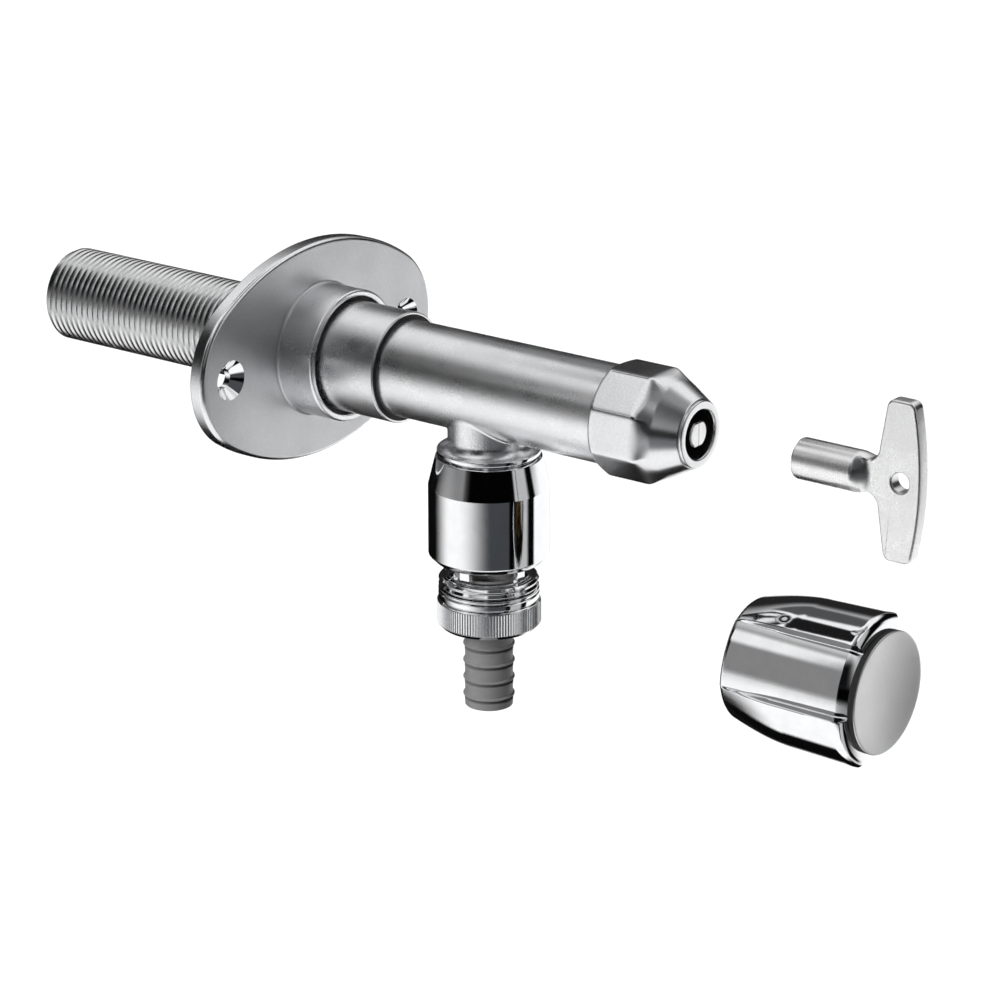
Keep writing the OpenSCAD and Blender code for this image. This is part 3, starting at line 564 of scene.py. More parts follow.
@dataclass(frozen=True)
class Finish:
    """What every finish has: its name, and the two colours that its tone lies between."""

    name: str
    light: str
    dark: str

    def start(self) -> tuple[Material, NodeSocket]:
        """Starts the material.

        Returns:
            The material and its Object coordinates.
        """
        material = bpy.data.materials.new(self.name)
        material.use_nodes = True
        spot = add_node(material.node_tree, "ShaderNodeTexCoord")
        return material, spot.outputs["Object"]

    def dress(self, material: Material, share: NodeSocket, rough: NodeSocket,
              height: NodeSocket, depth_mm: float) -> None:
        """Gives the shader its tone, its polish and its relief.

        Args:
            material: the material.
            share: how far the tone lies from the light to the dark colour.
            rough: the roughness.
            height: the relief, from 0 to 1.
            depth_mm: how deep the relief is.
        """
        tree, shader = material.node_tree, shader_of(material)
        tone = add_node(tree, "ShaderNodeMix", {"data_type": "RGBA"}, {
            "Factor": share, 6: linear(self.light), 7: linear(self.dark)})
        relief = add_node(tree, "ShaderNodeBump", links={
            "Height": height, "Distance": depth_mm * MM, "Strength": 1.0})
        tree.links.new(tone.outputs[2], shader.inputs["Base Color"])
        tree.links.new(rough, shader.inputs["Roughness"])
        tree.links.new(relief.outputs["Normal"], shader.inputs["Normal"])


@dataclass(frozen=True)
class Metal(Finish):
    """A bare or plated metal.

    The grain is the fine relief of its making, and the clouds are the slow change of polish on it.
    """

    work: Work
    rough: tuple[float, float]
    grain_mm: float
    depth_mm: float
    cloud_mm: float

    def make(self) -> Material:
        """Builds the material.

        Returns:
            The material.
        """
        material, spot = self.start()
        tree = material.node_tree
        shader_of(material).inputs["Metallic"].default_value = 1.0
        clouds = add_node(tree, "ShaderNodeTexNoise", links={
            "Vector": spot, "Scale": 1 / (self.cloud_mm * MM), "Detail": 3.0}).outputs["Fac"]
        if self.work is Work.TURNED:
            # Tool marks run round the tap's axis: the grain is long across it and short along it
            lie = add_node(tree, "ShaderNodeMapping", links={
                "Vector": spot, "Scale": (0.03, 1.0, 0.03)})
            spot = lie.outputs["Vector"]
        grain = add_node(tree, "ShaderNodeTexNoise", links={
            "Vector": spot, "Scale": 1 / (self.grain_mm * MM), "Detail": 4.0,
            "Roughness": 0.6}).outputs["Fac"]
        # The polish follows the clouds, and half as much the grain
        both = add_node(tree, "ShaderNodeMath", {"operation": "MULTIPLY_ADD"}, {
            0: grain, 1: 0.5, 2: clouds})
        polish = add_node(tree, "ShaderNodeMapRange", links={
            "Value": both.outputs[0], "From Min": 1.5 * NOISE_LOW, "From Max": 1.5 * NOISE_HIGH,
            "To Min": self.rough[0], "To Max": self.rough[1]})
        share = add_node(tree, "ShaderNodeMapRange", links={
            "Value": grain, "From Min": NOISE_LOW, "From Max": NOISE_HIGH,
            "To Min": 0.0, "To Max": 1.0})
        self.dress(material, share.outputs["Result"], polish.outputs["Result"], grain,
                   self.depth_mm)
        return material


@dataclass(frozen=True)
class Moulded(Finish):
    """A moulded plastic or rubber, with the fine spark of its tool and slow clouds of its flow."""

    rough: float
    spark_mm: float
    depth_mm: float
    ior: float

    def make(self) -> Material:
        """Builds the material.

        Returns:
            The material.
        """
        material, spot = self.start()
        tree = material.node_tree
        shader_of(material).inputs["IOR"].default_value = self.ior
        flow_mm, uneven = 12 * self.spark_mm, 0.08
        spark = add_node(tree, "ShaderNodeTexNoise", links={
            "Vector": spot, "Scale": 1 / (self.spark_mm * MM), "Detail": 3.0}).outputs["Fac"]
        flow = add_node(tree, "ShaderNodeTexNoise", links={
            "Vector": spot, "Scale": 1 / (flow_mm * MM), "Detail": 2.0}).outputs["Fac"]
        polish = add_node(tree, "ShaderNodeMapRange", links={
            "Value": spark, "From Min": NOISE_LOW, "From Max": NOISE_HIGH,
            "To Min": self.rough - uneven, "To Max": self.rough + uneven})
        self.dress(material, flow, polish.outputs["Result"], spark, self.depth_mm)
        return material


class Finishes:
    """Every material of the object, each made once."""

    def __init__(self) -> None:
        """Builds the materials."""
        # Bead blasted brass under satin chrome: soft bands of light with a fine mottled grain
        self.blasted_chrome = Metal(
            "bead_blasted_chrome", "#f4f4f5", "#e4e5e7", Work.BLASTED, rough=(0.24, 0.34),
            grain_mm=0.42, depth_mm=0.017, cloud_mm=9.0).make()
        # Satin chrome on a smooth casting: clear but soft reflections, hardly any grain
        self.satin_chrome = Metal(
            "satin_chrome", "#ededee", "#dddee0", Work.BLASTED, rough=(0.17, 0.26),
            grain_mm=0.5, depth_mm=0.004, cloud_mm=14.0).make()
        # Sanded chrome of the wall plate: an even, dull sheen with a fine grain
        self.sanded_chrome = Metal(
            "sanded_chrome", "#d4d4d6", "#c8c9cb", Work.BLASTED, rough=(0.36, 0.46),
            grain_mm=0.4, depth_mm=0.006, cloud_mm=12.0).make()
        # Bright chrome on polished brass: a mirror with the faint unevenness of buffing
        self.bright_chrome = Metal(
            "bright_chrome", "#f3f3f4", "#e9eaec", Work.POLISHED, rough=(0.035, 0.07),
            grain_mm=5.0, depth_mm=0.006, cloud_mm=16.0).make()
        # Turned steel: bright, with tool marks round the axis
        self.turned_steel = Metal(
            "turned_steel", "#f0f0f0", "#d2d3d4", Work.TURNED, rough=(0.16, 0.28),
            grain_mm=0.35, depth_mm=0.008, cloud_mm=6.0).make()
        # Die cast zinc, tumbled: pale and even, with a fine dull grain
        self.cast_zinc = Metal(
            "die_cast_zinc", "#f5f5f5", "#e6e6e7", Work.BLASTED, rough=(0.24, 0.34),
            grain_mm=0.5, depth_mm=0.014, cloud_mm=7.0).make()
        # Satin nickel on a pressed disc: dull pale grey with a very fine even grain
        self.satin_nickel = Metal(
            "satin_nickel", "#dededf", "#d4d4d5", Work.BLASTED, rough=(0.34, 0.42),
            grain_mm=0.35, depth_mm=0.003, cloud_mm=12.0).make()
        # Raw brass inside the tap: yellow, turned
        self.raw_brass = Metal(
            "raw_brass", "#d8b76a", "#b08d45", Work.TURNED, rough=(0.22, 0.36),
            grain_mm=0.4, depth_mm=0.01, cloud_mm=8.0).make()
        # Nitrile rubber seals: nearly black and dull. The same black is also painted shade in the
        # gaps at the socket's step and round the knob's disc
        self.nitrile = Moulded(
            "rubber_and_painted_gap_shade", "#161616", "#232323", rough=0.62, spark_mm=0.4, depth_mm=0.01,
            ior=1.5).make()
        # Acetal inner pieces: off white, waxy
        self.acetal = Moulded(
            "acetal", "#d8d8d7", "#c9c9c8", rough=0.42, spark_mm=0.5, depth_mm=0.008,
            ior=1.48).make()
        # Glass filled nylon of the hose tail: mid grey and matt
        self.grey_nylon = Moulded(
            "grey_nylon", "#868686", "#7c7c7c", rough=0.5, spark_mm=0.4, depth_mm=0.015,
            ior=1.53).make()
        # Painted shade for the inside of the spindle's recess: black and dull, standing in for the
        # shade that falls deep in it
        self.recess_black = Moulded(
            "recess_painted_shade", "#0c0c0c", "#141414", rough=0.6, spark_mm=0.5, depth_mm=0.01,
            ior=1.5).make()


def seat(piece: Object, body: str, nodes: Sequence[str],
         materials: Sequence[Material], sharp: float = SHARP_ANGLE) -> None:
    """Shades and dresses a finished piece and puts it on its body.

    Args:
        piece: the piece, with its place in its mesh.
        body: the CAD body that it moves with.
        nodes: the CAD nodes that it stands for.
        materials: its materials, by the index on its faces.
        sharp: the least angle of a sharp edge, in degrees.
    """
    smooth(piece, sharp)
    piece.data.materials.clear()
    for material in materials:
        piece.data.materials.append(material)
    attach(piece, body)
    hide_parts(*nodes)
    LOG.info("%s rides on %s: %d faces", piece.name, body, len(piece.data.polygons))


def paint(piece: Object, index: int, chosen: Callable[[Vector, Vector], bool]) -> None:
    """Gives the faces that a rule picks another material.

    Args:
        piece: the piece.
        index: the material's place in the piece's list.
        chosen: takes a face's middle in millimetres and its normal, and says if it is picked.
    """
    for face in piece.data.polygons:
        if chosen(face.center / MM, face.normal):
            face.material_index = index


def off_axis(spot: Vector) -> float:
    """Gives a point's distance from the tap's axis."""
    return math.hypot(spot.x, spot.z)


# The object's own pieces

@dataclass
class WallTube:
    """Threaded tube that goes through the wall."""

    bore_r: float = 12.0
    root_r: float = 13.7
    crest_r: float = 14.5
    back_s: float = -95.0
    front_s: float = 29.0
    pitch: float = 2.2
    thread_start: float = 1.0
    # Widths of the ridge as shares of the pitch
    ridge_base: float = 0.92
    ridge_crest: float = 0.44

    def build(self, finishes: Finishes, threads: NodeTree) -> None:
        """Makes the tube with its thread.

        Args:
            finishes: the object's materials.
            threads: the tree that makes a thread.
        """
        tube = solid("threaded_wall_tube", [turned(TAP, [
            (self.bore_r, self.back_s, EASED), (self.root_r, self.back_s, SOFT),
            (self.root_r, 0, 0), (self.crest_r, 0, KEEN), (self.crest_r, self.front_s, BROKEN),
            (self.bore_r, self.front_s, BROKEN)])])
        first = self.back_s + self.thread_start
        join(tube, grow("tube_thread", threads, {
            "Radius": self.root_r * MM, "Pitch": self.pitch * MM,
            "Turns": (-first - self.pitch / 2) / self.pitch,
            "Height": (self.crest_r - self.root_r) * MM,
            "Base": self.ridge_base * self.pitch * MM,
            "Crest": self.ridge_crest * self.pitch * MM}, TAP, first, finishes.turned_steel))
        seat(tube, "tap", ["wall_tube"], [finishes.turned_steel])


@dataclass
class WallFlange:
    """Oval wall plate with its hub and two countersunk holes."""

    half_w: float = 53.5
    half_h: float = 33.0
    end_r: float = 24.0
    thick: float = 5.0
    rim_r: float = 1.5
    rim_bright: float = 1.1
    bore_r: float = 14.6
    hub_r: float = 20.0
    hub_s: float = 18.0
    fillet_r: float = 0.8
    lip_r: float = 0.8
    mouth_r: float = 18.0
    mouth_s: float = 9.0
    hole_x: float = 41.0
    hole_r: float = 3.0
    sink_r: float = 6.0
    sharp: float = 28.0
    segments: int = 320

    def reach(self, turn: float) -> float:
        """Gives the oval's radius in one direction.

        Args:
            turn: the direction, in radians from across to up.

        Returns:
            The distance from the middle to the rim.
        """
        x, y = abs(math.cos(turn)), abs(math.sin(turn))
        mid_x, step = self.half_w - self.end_r, self.half_h - self.end_r
        side_r = (mid_x ** 2 + self.half_h ** 2 - self.end_r ** 2) / (2 * step)
        side_y = self.half_h - side_r
        tangent = math.atan2(-side_y * self.end_r / (side_r - self.end_r),
                             mid_x * side_r / (side_r - self.end_r))
        at_end = math.atan2(y, x) < tangent
        cx, cy, r = (mid_x, 0.0, self.end_r) if at_end else (0.0, side_y, side_r)
        lean = x * cx + y * cy
        return lean + math.sqrt(lean ** 2 - cx ** 2 - cy ** 2 + r ** 2)

    def screw_hole(self, x: float) -> Object:
        """Makes the cutter of one countersunk hole.

        Args:
            x: where the hole is, across the plate.

        Returns:
            The cutter, which stands out of both faces of the plate.
        """
        sink, over = self.thick - (self.sink_r - self.hole_r), 1.0
        return solid("screw_hole", [turned(level_axis(x), [
            (0, -over, 0), (self.hole_r, -over, 0), (self.hole_r, sink, 0),
            (self.sink_r + over, self.thick + over, 0), (0, self.thick + over, 0)],
            HOLE_SEGMENTS)])

    def build(self, finishes: Finishes) -> None:
        """Makes the plate, cuts its holes and dresses it.

        Args:
            finishes: the object's materials.
        """
        outlines = []
        for turn in directions(self.segments):
            rim = self.reach(turn)
            outlines.append(round_corners([
                (self.bore_r, 0, BROKEN), (rim, 0, SOFT), (rim, self.thick, self.rim_r),
                (self.hub_r, self.thick, self.fillet_r), (self.hub_r, self.hub_s, self.lip_r),
                (self.mouth_r, self.hub_s, SOFT), (self.mouth_r, self.mouth_s, BROKEN),
                (self.bore_r, self.mouth_s, BROKEN)]))
        grid = np.array(outlines).transpose(1, 0, 2)
        plate = solid("oval_wall_flange", [skin(loops(TAP, grid[:, :, 0], grid[:, :, 1]))])
        cut(plate, [self.screw_hole(-self.hole_x), self.screw_hole(self.hole_x)])
        seat(plate, "tap", ["wall_flange"],
             [finishes.sanded_chrome, finishes.blasted_chrome, finishes.satin_chrome,
              finishes.bright_chrome], self.sharp)
        past_hub, past_plate, back_facing = self.hub_r + 0.5, self.thick + 1, 0.9
        paint(plate, 1, lambda spot, normal: off_axis(spot) < past_hub and -spot.y > past_plate)
        paint(plate, 2, lambda spot, normal: off_axis(spot)
              > self.reach(math.atan2(spot.z, spot.x)) - self.rim_bright)
        paint(plate, 3, lambda spot, normal: normal.y < back_facing
              and math.hypot(abs(spot.x) - self.hole_x, spot.z) < self.sink_r
              and -spot.y < self.thick - TOUCH)


@dataclass
class TapBody:
    """Cast body: socket, barrel and the branch with its lip."""

    socket_r: float = 16.7
    socket_back: float = 9.0
    socket_s: float = 38.0
    socket_edge: float = 0.4
    joint_r: float = 16.0
    barrel_r: float = 14.5
    barrel_s: float = 116.5
    waterway_r: float = 11.2
    neck_r: float = 12.1
    blend_r: float = 0.9
    blend_steps: int = 9
    root_in: float = 0.9
    root_sink: float = 0.8
    flare_r: float = 3.2
    flare_steps: int = 11
    lip_r: float = 15.3
    lip_in: float = 1.0
    lip_low: float = -20.0
    lip_t: float = 1.4
    spigot_r: float = 14.4
    spigot_low: float = -30.9
    bore_r: float = 9.0
    bore_top: float = -9.5

    def branch(self) -> Shell:
        """Makes the branch, whose top lies against the barrel all round.

        Returns:
            The branch as one closed shell.
        """
        turn = directions(FINE_SEGMENTS)
        even = np.ones_like(turn)

        def saddle(r: float, depth: float) -> np.ndarray:
            """Gives the barrel's underside above a circle, sunk by a depth."""
            under_r = self.barrel_r - depth
            return -np.sqrt(under_r ** 2 - np.minimum(abs(r * np.cos(turn)), under_r) ** 2)

        foot_r = self.neck_r + self.blend_r
        root_r = foot_r - self.root_in
        foot, meet = saddle(foot_r, HAIR), saddle(self.neck_r, 0)
        rows = [(root_r * even, saddle(root_r, self.root_sink)), (foot_r * even, foot)]
        for t in np.linspace(0, 1, self.blend_steps)[1:]:
            left = (1 - t) ** 2
            rows.append(((left * foot_r + (1 - left) * self.neck_r) * even,
                         left * foot + 2 * t * (1 - t) * meet + t * t * (meet - self.blend_r)))
        lip_top = self.lip_low + self.lip_t
        outline = [(self.neck_r, lip_top + self.flare_r)]
        outline += [(self.lip_r - self.flare_r * math.cos(a),
                     lip_top + self.flare_r * (1 - math.sin(a)))
                    for a in np.linspace(0, QUARTER_TURN, self.flare_steps)[1:-1]]
        outline += round_corners([
            (self.lip_r - self.lip_in, lip_top + CRISP, 0), (self.lip_r, lip_top, LIPPED),
            (self.lip_r, self.lip_low, LIPPED), (self.spigot_r, self.lip_low, 0),
            (self.spigot_r, self.spigot_low, EASED), (self.bore_r, self.spigot_low, EASED),
            (self.bore_r, self.bore_top, 0)]).tolist()[1:]
        rows += [(r * even, z * even) for r, z in outline]
        return lofted(OUTLET, rows)

    def build(self, finishes: Finishes) -> None:
        """Makes the body of its turned part and its branch.

        Args:
            finishes: the object's materials.
        """
        body = solid("tap_body_casting", [turned(TAP, [
            (self.waterway_r, self.socket_back, EASED), (self.socket_r, self.socket_back, SOFT),
            (self.socket_r, self.socket_s, self.socket_edge), (self.joint_r, self.socket_s, 0),
            (self.barrel_r, self.socket_s, 0), (self.barrel_r, self.barrel_s, BROKEN),
            (self.waterway_r, self.barrel_s, BROKEN)], FINE_SEGMENTS), self.branch()])
        seat(body, "tap", ["tap_body"],
             [finishes.blasted_chrome, finishes.bright_chrome, finishes.nitrile])
        lip_top = self.lip_low + self.lip_t
        paint(body, 1, lambda spot, normal: spot.z < lip_top + HAIR)
        # Painted shade: the step where the barrel leaves the socket is black, standing in for the
        # shadowed gap between them
        paint(body, 2, lambda spot, normal: abs(-spot.y - self.socket_s) < THIN
              and off_axis(spot) < self.joint_r)


@dataclass
class Head:
    """Octagonal head nut, the ring in its cone and the spindle in its recess."""

    back_s: float = 115.2
    half_flats: float = 15.8
    sides: int = 8
    corner_power: float = 70.0
    corner_reach: float = 1.03
    edge_s: float = 130.6
    cone_r: float = 16.3
    run_out: float = 4.5
    end_s: float = 142.2
    end_r: float = 10.0
    end_gap: float = 0.25
    end_break: float = 0.12
    back_edge: float = 0.5
    back_slope: float = 1.2
    back_len: float = 1.6
    back_rows: int = 9
    flats_from: float = 2.2
    flats_rows: int = 100
    edge_blend: float = 0.8
    recess_r: float = 7.2
    gland_s: float = 130.0
    nut_segments: int = 480
    nut_sharp: float = 40.0
    ring_r: float = 9.75
    ring_s: float = 143.0
    ring_step: float = 1.0
    ring_round: float = 0.75
    ring_mouth: float = 0.6
    ring_bright: float = 1.8
    ring_sink: float = 4.0
    spindle_r: float = 4.0
    spindle_edge: float = 0.45
    spindle_sharp: float = 20.0
    half_drive: float = 3.6
    drive_s: float = 131.4
    half_slot: float = 0.15
    slot_depth: float = 0.2
    collar_r: float = 6.5
    collar_t: float = 2.0
    collar_back: float = 20.9
    collar_segments: int = 96

    def nut(self, finishes: Finishes) -> None:
        """Makes the nut as one field of radii, with the flats running out into a round cone.

        Args:
            finishes: the object's materials.
        """
        turn = directions(self.nut_segments)
        flats = np.arange(self.sides) * FULL_TURN / self.sides
        facing = np.maximum(np.cos(turn[:, None] - flats), 0) ** self.corner_power
        flat_r = self.half_flats / facing.sum(axis=1) ** (1 / self.corner_power)
        rows = []
        for s in np.concatenate((
                np.linspace(self.back_s, self.back_s + self.back_len, self.back_rows),
                np.linspace(self.back_s + self.flats_from, self.end_s - self.end_gap,
                            self.flats_rows))):
            ahead = s - self.edge_s
            cone = self.cone_r + (self.end_r - self.cone_r) * ahead / (self.end_s - self.edge_s)
            drawn = cone + (flat_r - self.cone_r) * max(1 - ahead / self.run_out, 0)
            back = (self.half_flats * self.corner_reach - self.back_edge
                    + (s - self.back_s) * self.back_slope)
            rows.append((soft_least(soft_least(flat_r, drawn, self.edge_blend),
                                    np.full_like(flat_r, back), self.edge_blend), s))
        rows += [(np.full_like(turn, r), s) for r, s in (
            (self.end_r - self.end_break, self.end_s - self.end_break / 2),
            (self.end_r - LIPPED, self.end_s), (self.recess_r, self.end_s),
            (self.recess_r, self.gland_s), (self.recess_r, self.back_s))]
        nut = solid("octagon_head_nut", [lofted(TAP, rows)])
        seat(nut, "tap", ["head_nut"],
             [finishes.satin_chrome, finishes.recess_black], self.nut_sharp)
        # Painted shade: the recess's walls are black, for the shade that falls inside it
        paint(nut, 1, lambda spot, normal: off_axis(spot) < self.recess_r + TOUCH)

    def ring(self, finishes: Finishes) -> None:
        """Makes the bright ring round the recess.

        Args:
            finishes: the object's materials.
        """
        inner_r, wall_r = self.recess_r - HAIR, self.ring_r - self.ring_step
        sunk_s, seat_s = self.end_s - self.ring_sink, self.end_s + HAIR
        bright_s = self.ring_s - self.ring_bright
        ring = solid("recess_ring", [turned(TAP, [
            (inner_r, sunk_s, KEEN), (wall_r, sunk_s, KEEN), (wall_r, seat_s, 0),
            (self.ring_r, seat_s, CRISP), (self.ring_r, self.ring_s, self.ring_round),
            (inner_r, self.ring_s, self.ring_mouth), (inner_r, bright_s, 0)])])
        seat(ring, "tap", ["gland_ring"],
             [finishes.satin_chrome, finishes.recess_black])
        # Painted shade: the ring's inner wall is black below its bright mouth, for the shade in
        # the recess
        paint(ring, 1, lambda spot, normal: off_axis(spot) < self.recess_r + THIN
              and -spot.y < bright_s)

    def spindle(self, finishes: Finishes) -> None:
        """Makes the spindle with its collar, its two drive flats and the slot in its end.

        Args:
            finishes: the object's materials.
        """
        low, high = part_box("spindle")
        back_s, front_s = -high[1] / MM, -low[1] / MM
        turn = directions(SEGMENTS)
        drive = np.minimum(self.spindle_r, flat(self.half_drive, np.sin(turn)))
        round_r = np.full_like(turn, self.spindle_r)
        edge, part_edge = self.spindle_edge, 0.3 * self.spindle_edge
        spindle = solid("spindle_shaft", [lofted(TAP, [
            (0 * turn, back_s), (round_r - edge, back_s), (round_r, back_s + edge),
            (round_r, self.drive_s), (drive, self.drive_s), (drive, front_s - edge),
            (drive - part_edge, front_s - part_edge), (drive - edge, front_s),
            (0 * turn, front_s)], wrap=False)])
        over, half_len = 1, self.spindle_r + 1
        cut(spindle, [solid("end_slot", [block(
            (-self.half_slot, -front_s - over, -half_len),
            (self.half_slot, -front_s + self.slot_depth, half_len))])])
        root_r, collar_s = self.spindle_r - EASED, self.drive_s - self.collar_back
        join(spindle, solid("spindle_collar", [turned(TAP, [
            (root_r, collar_s, 0), (self.collar_r, collar_s, EASED),
            (self.collar_r, collar_s + self.collar_t, EASED),
            (root_r, collar_s + self.collar_t, 0)], self.collar_segments)]))
        seat(spindle, "spindle", ["spindle"], [finishes.turned_steel],
             self.spindle_sharp)

    def build(self, finishes: Finishes) -> None:
        """Makes the three pieces of the head.

        Args:
            finishes: the object's materials.
        """
        self.nut(finishes)
        self.ring(finishes)
        self.spindle(finishes)


@dataclass
class VacuumBreaker:
    """Bell, the nipple with its vent windows, and the threaded collar under them."""

    bore_r: float = 14.6
    top_r: float = 15.7
    top_z: float = -20.8
    bell_r: float = 17.9
    crease_z: float = -29.9
    crease_round: float = 0.8
    low_z: float = -50.9
    low_round: float = 0.6
    foot_z: float = -53.0
    foot_r: float = 15.8
    foot_bore_r: float = 13.5
    ledge_z: float = -48.5
    ledge_t: float = 2.5
    neck_r: float = 12.0
    neck_bore_r: float = 10.3
    window_top: float = -53.6
    window_low: float = -57.6
    web_w: float = 3.4
    web_back: float = 0.12
    thread_r: float = 13.2
    thread_z: float = -57.9
    chamber: float = 5.0
    nipple_low: float = -69.184
    nipple_round: float = 0.4
    low_bore_r: float = 8.6
    collar_r: float = 15.0
    collar_root_r: float = 14.2
    collar_low: float = -61.5
    collar_pitch: float = 1.8

    def bell(self, finishes: Finishes) -> None:
        """Makes the bell.

        Args:
            finishes: the object's materials.
        """
        bell = solid("breaker_bell", [turned(OUTLET, [
            (self.bore_r, self.top_z, BROKEN), (self.top_r, self.top_z, LIPPED),
            (self.bell_r, self.crease_z, self.crease_round),
            (self.bell_r, self.low_z, self.low_round), (self.foot_r, self.foot_z, SOFT),
            (self.foot_bore_r, self.foot_z, EASED), (self.foot_bore_r, self.ledge_z, KEEN),
            (self.bore_r, self.ledge_z, KEEN)], FINE_SEGMENTS)])
        seat(bell, "tap", ["breaker_housing"], [finishes.bright_chrome])

    def nipple(self, finishes: Finishes) -> None:
        """Makes the nipple of its top, its low part and the four webs between its windows.

        Args:
            finishes: the object's materials.
        """
        ledge_r, ledge_top = self.bore_r - THIN, self.ledge_z + self.ledge_t
        top = turned(OUTLET, [
            (self.neck_bore_r, self.window_top, KEEN), (self.neck_r, self.window_top, CRISP),
            (self.neck_r, self.ledge_z, 0), (ledge_r, self.ledge_z, KEEN),
            (ledge_r, ledge_top, BROKEN), (self.neck_bore_r, ledge_top, BROKEN)])
        step_z = self.thread_z - self.chamber
        low = turned(OUTLET, [
            (self.low_bore_r, self.nipple_low, BROKEN),
            (self.thread_r, self.nipple_low, self.nipple_round),
            (self.thread_r, self.thread_z, BROKEN), (self.neck_r, self.thread_z, KEEN),
            (self.neck_r, self.window_low, CRISP), (self.neck_bore_r, self.window_low, KEEN),
            (self.neck_bore_r, step_z, KEEN), (self.low_bore_r, step_z, KEEN)])
        webs, half, y = [], self.web_w / 2, OUTLET.origin[1]
        z_low, z_high = self.window_low - CLEAR, self.window_top + CLEAR
        for side in (-1, 1):
            near, far = sorted((side * (self.neck_bore_r + HAIR),
                                side * (self.neck_r - self.web_back)))
            webs.append(block((near, y - half, z_low), (far, y + half, z_high)))
            webs.append(block((-half, y + near, z_low), (half, y + far, z_high)))
        nipple = solid("vented_nipple", [top, low, *webs])
        seat(nipple, "tap", ["outlet_nipple"],
             [finishes.bright_chrome, finishes.acetal])
        inside_r = self.neck_bore_r + CLEAR
        paint(nipple, 1, lambda spot, normal: math.hypot(spot.x, spot.y - y) < inside_r)

    def collar(self, finishes: Finishes) -> None:
        """Makes the threaded collar.

        Args:
            finishes: the object's materials.
        """
        bore_r = self.thread_r + CLEAR
        teeth = round((self.thread_z - self.collar_low) / self.collar_pitch)
        ridges = [(self.collar_r if i % 2 else self.collar_root_r,
                   self.collar_low + i * self.collar_pitch / 2, BROKEN)
                  for i in range(2 * teeth + 1)]
        collar = solid("threaded_vent_collar", [turned(OUTLET, [
            (bore_r, self.collar_low, KEEN), *ridges, (bore_r, self.thread_z, KEEN)])])
        seat(collar, "tap", ["vent_collar"], [finishes.bright_chrome])

    def build(self, finishes: Finishes) -> None:
        """Makes the three pieces of the breaker.

        Args:
            finishes: the object's materials.
        """
        self.bell(finishes)
        self.nipple(finishes)
        self.collar(finishes)


@dataclass
class CheckSpring:
    """Coil spring of the check valve, which shortens as the poppet opens."""

    wire_r: float = 0.35
    turns: float = 3.5
    rings: int = 112
    sides: int = 12
    travel: float = 3.2
    sharp: float = 50.0

    def build(self, finishes: Finishes) -> None:
        """Makes the spring in the place of its CAD node.

        Args:
            finishes: the object's materials.
        """
        low, high = (np.array(corner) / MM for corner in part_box("check_spring"))
        length = high[2] - low[2]
        coil_r = (high[0] - low[0]) / 2 - self.wire_r
        round_wire = directions(self.sides)
        rows = []
        for t in np.linspace(0, 1, self.rings):
            turn = FULL_TURN * self.turns * t
            height = low[2] + self.wire_r + (length - 2 * self.wire_r) * t
            # The first and last ring shrink to a point and close the wire's ends
            wire_r = 0.0 if t in (0.0, 1.0) else self.wire_r
            reach = coil_r + wire_r * np.cos(round_wire)
            rows.append(np.stack((reach * math.cos(turn), reach * math.sin(turn),
                                  height + wire_r * np.sin(round_wire)), axis=-1))
        spring = solid("check_valve_spring", [skin(OUTLET.place(np.array(rows)), wrap=False)])
        seat(spring, "tap", ["check_spring"], [finishes.turned_steel], self.sharp)
        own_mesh(spring)


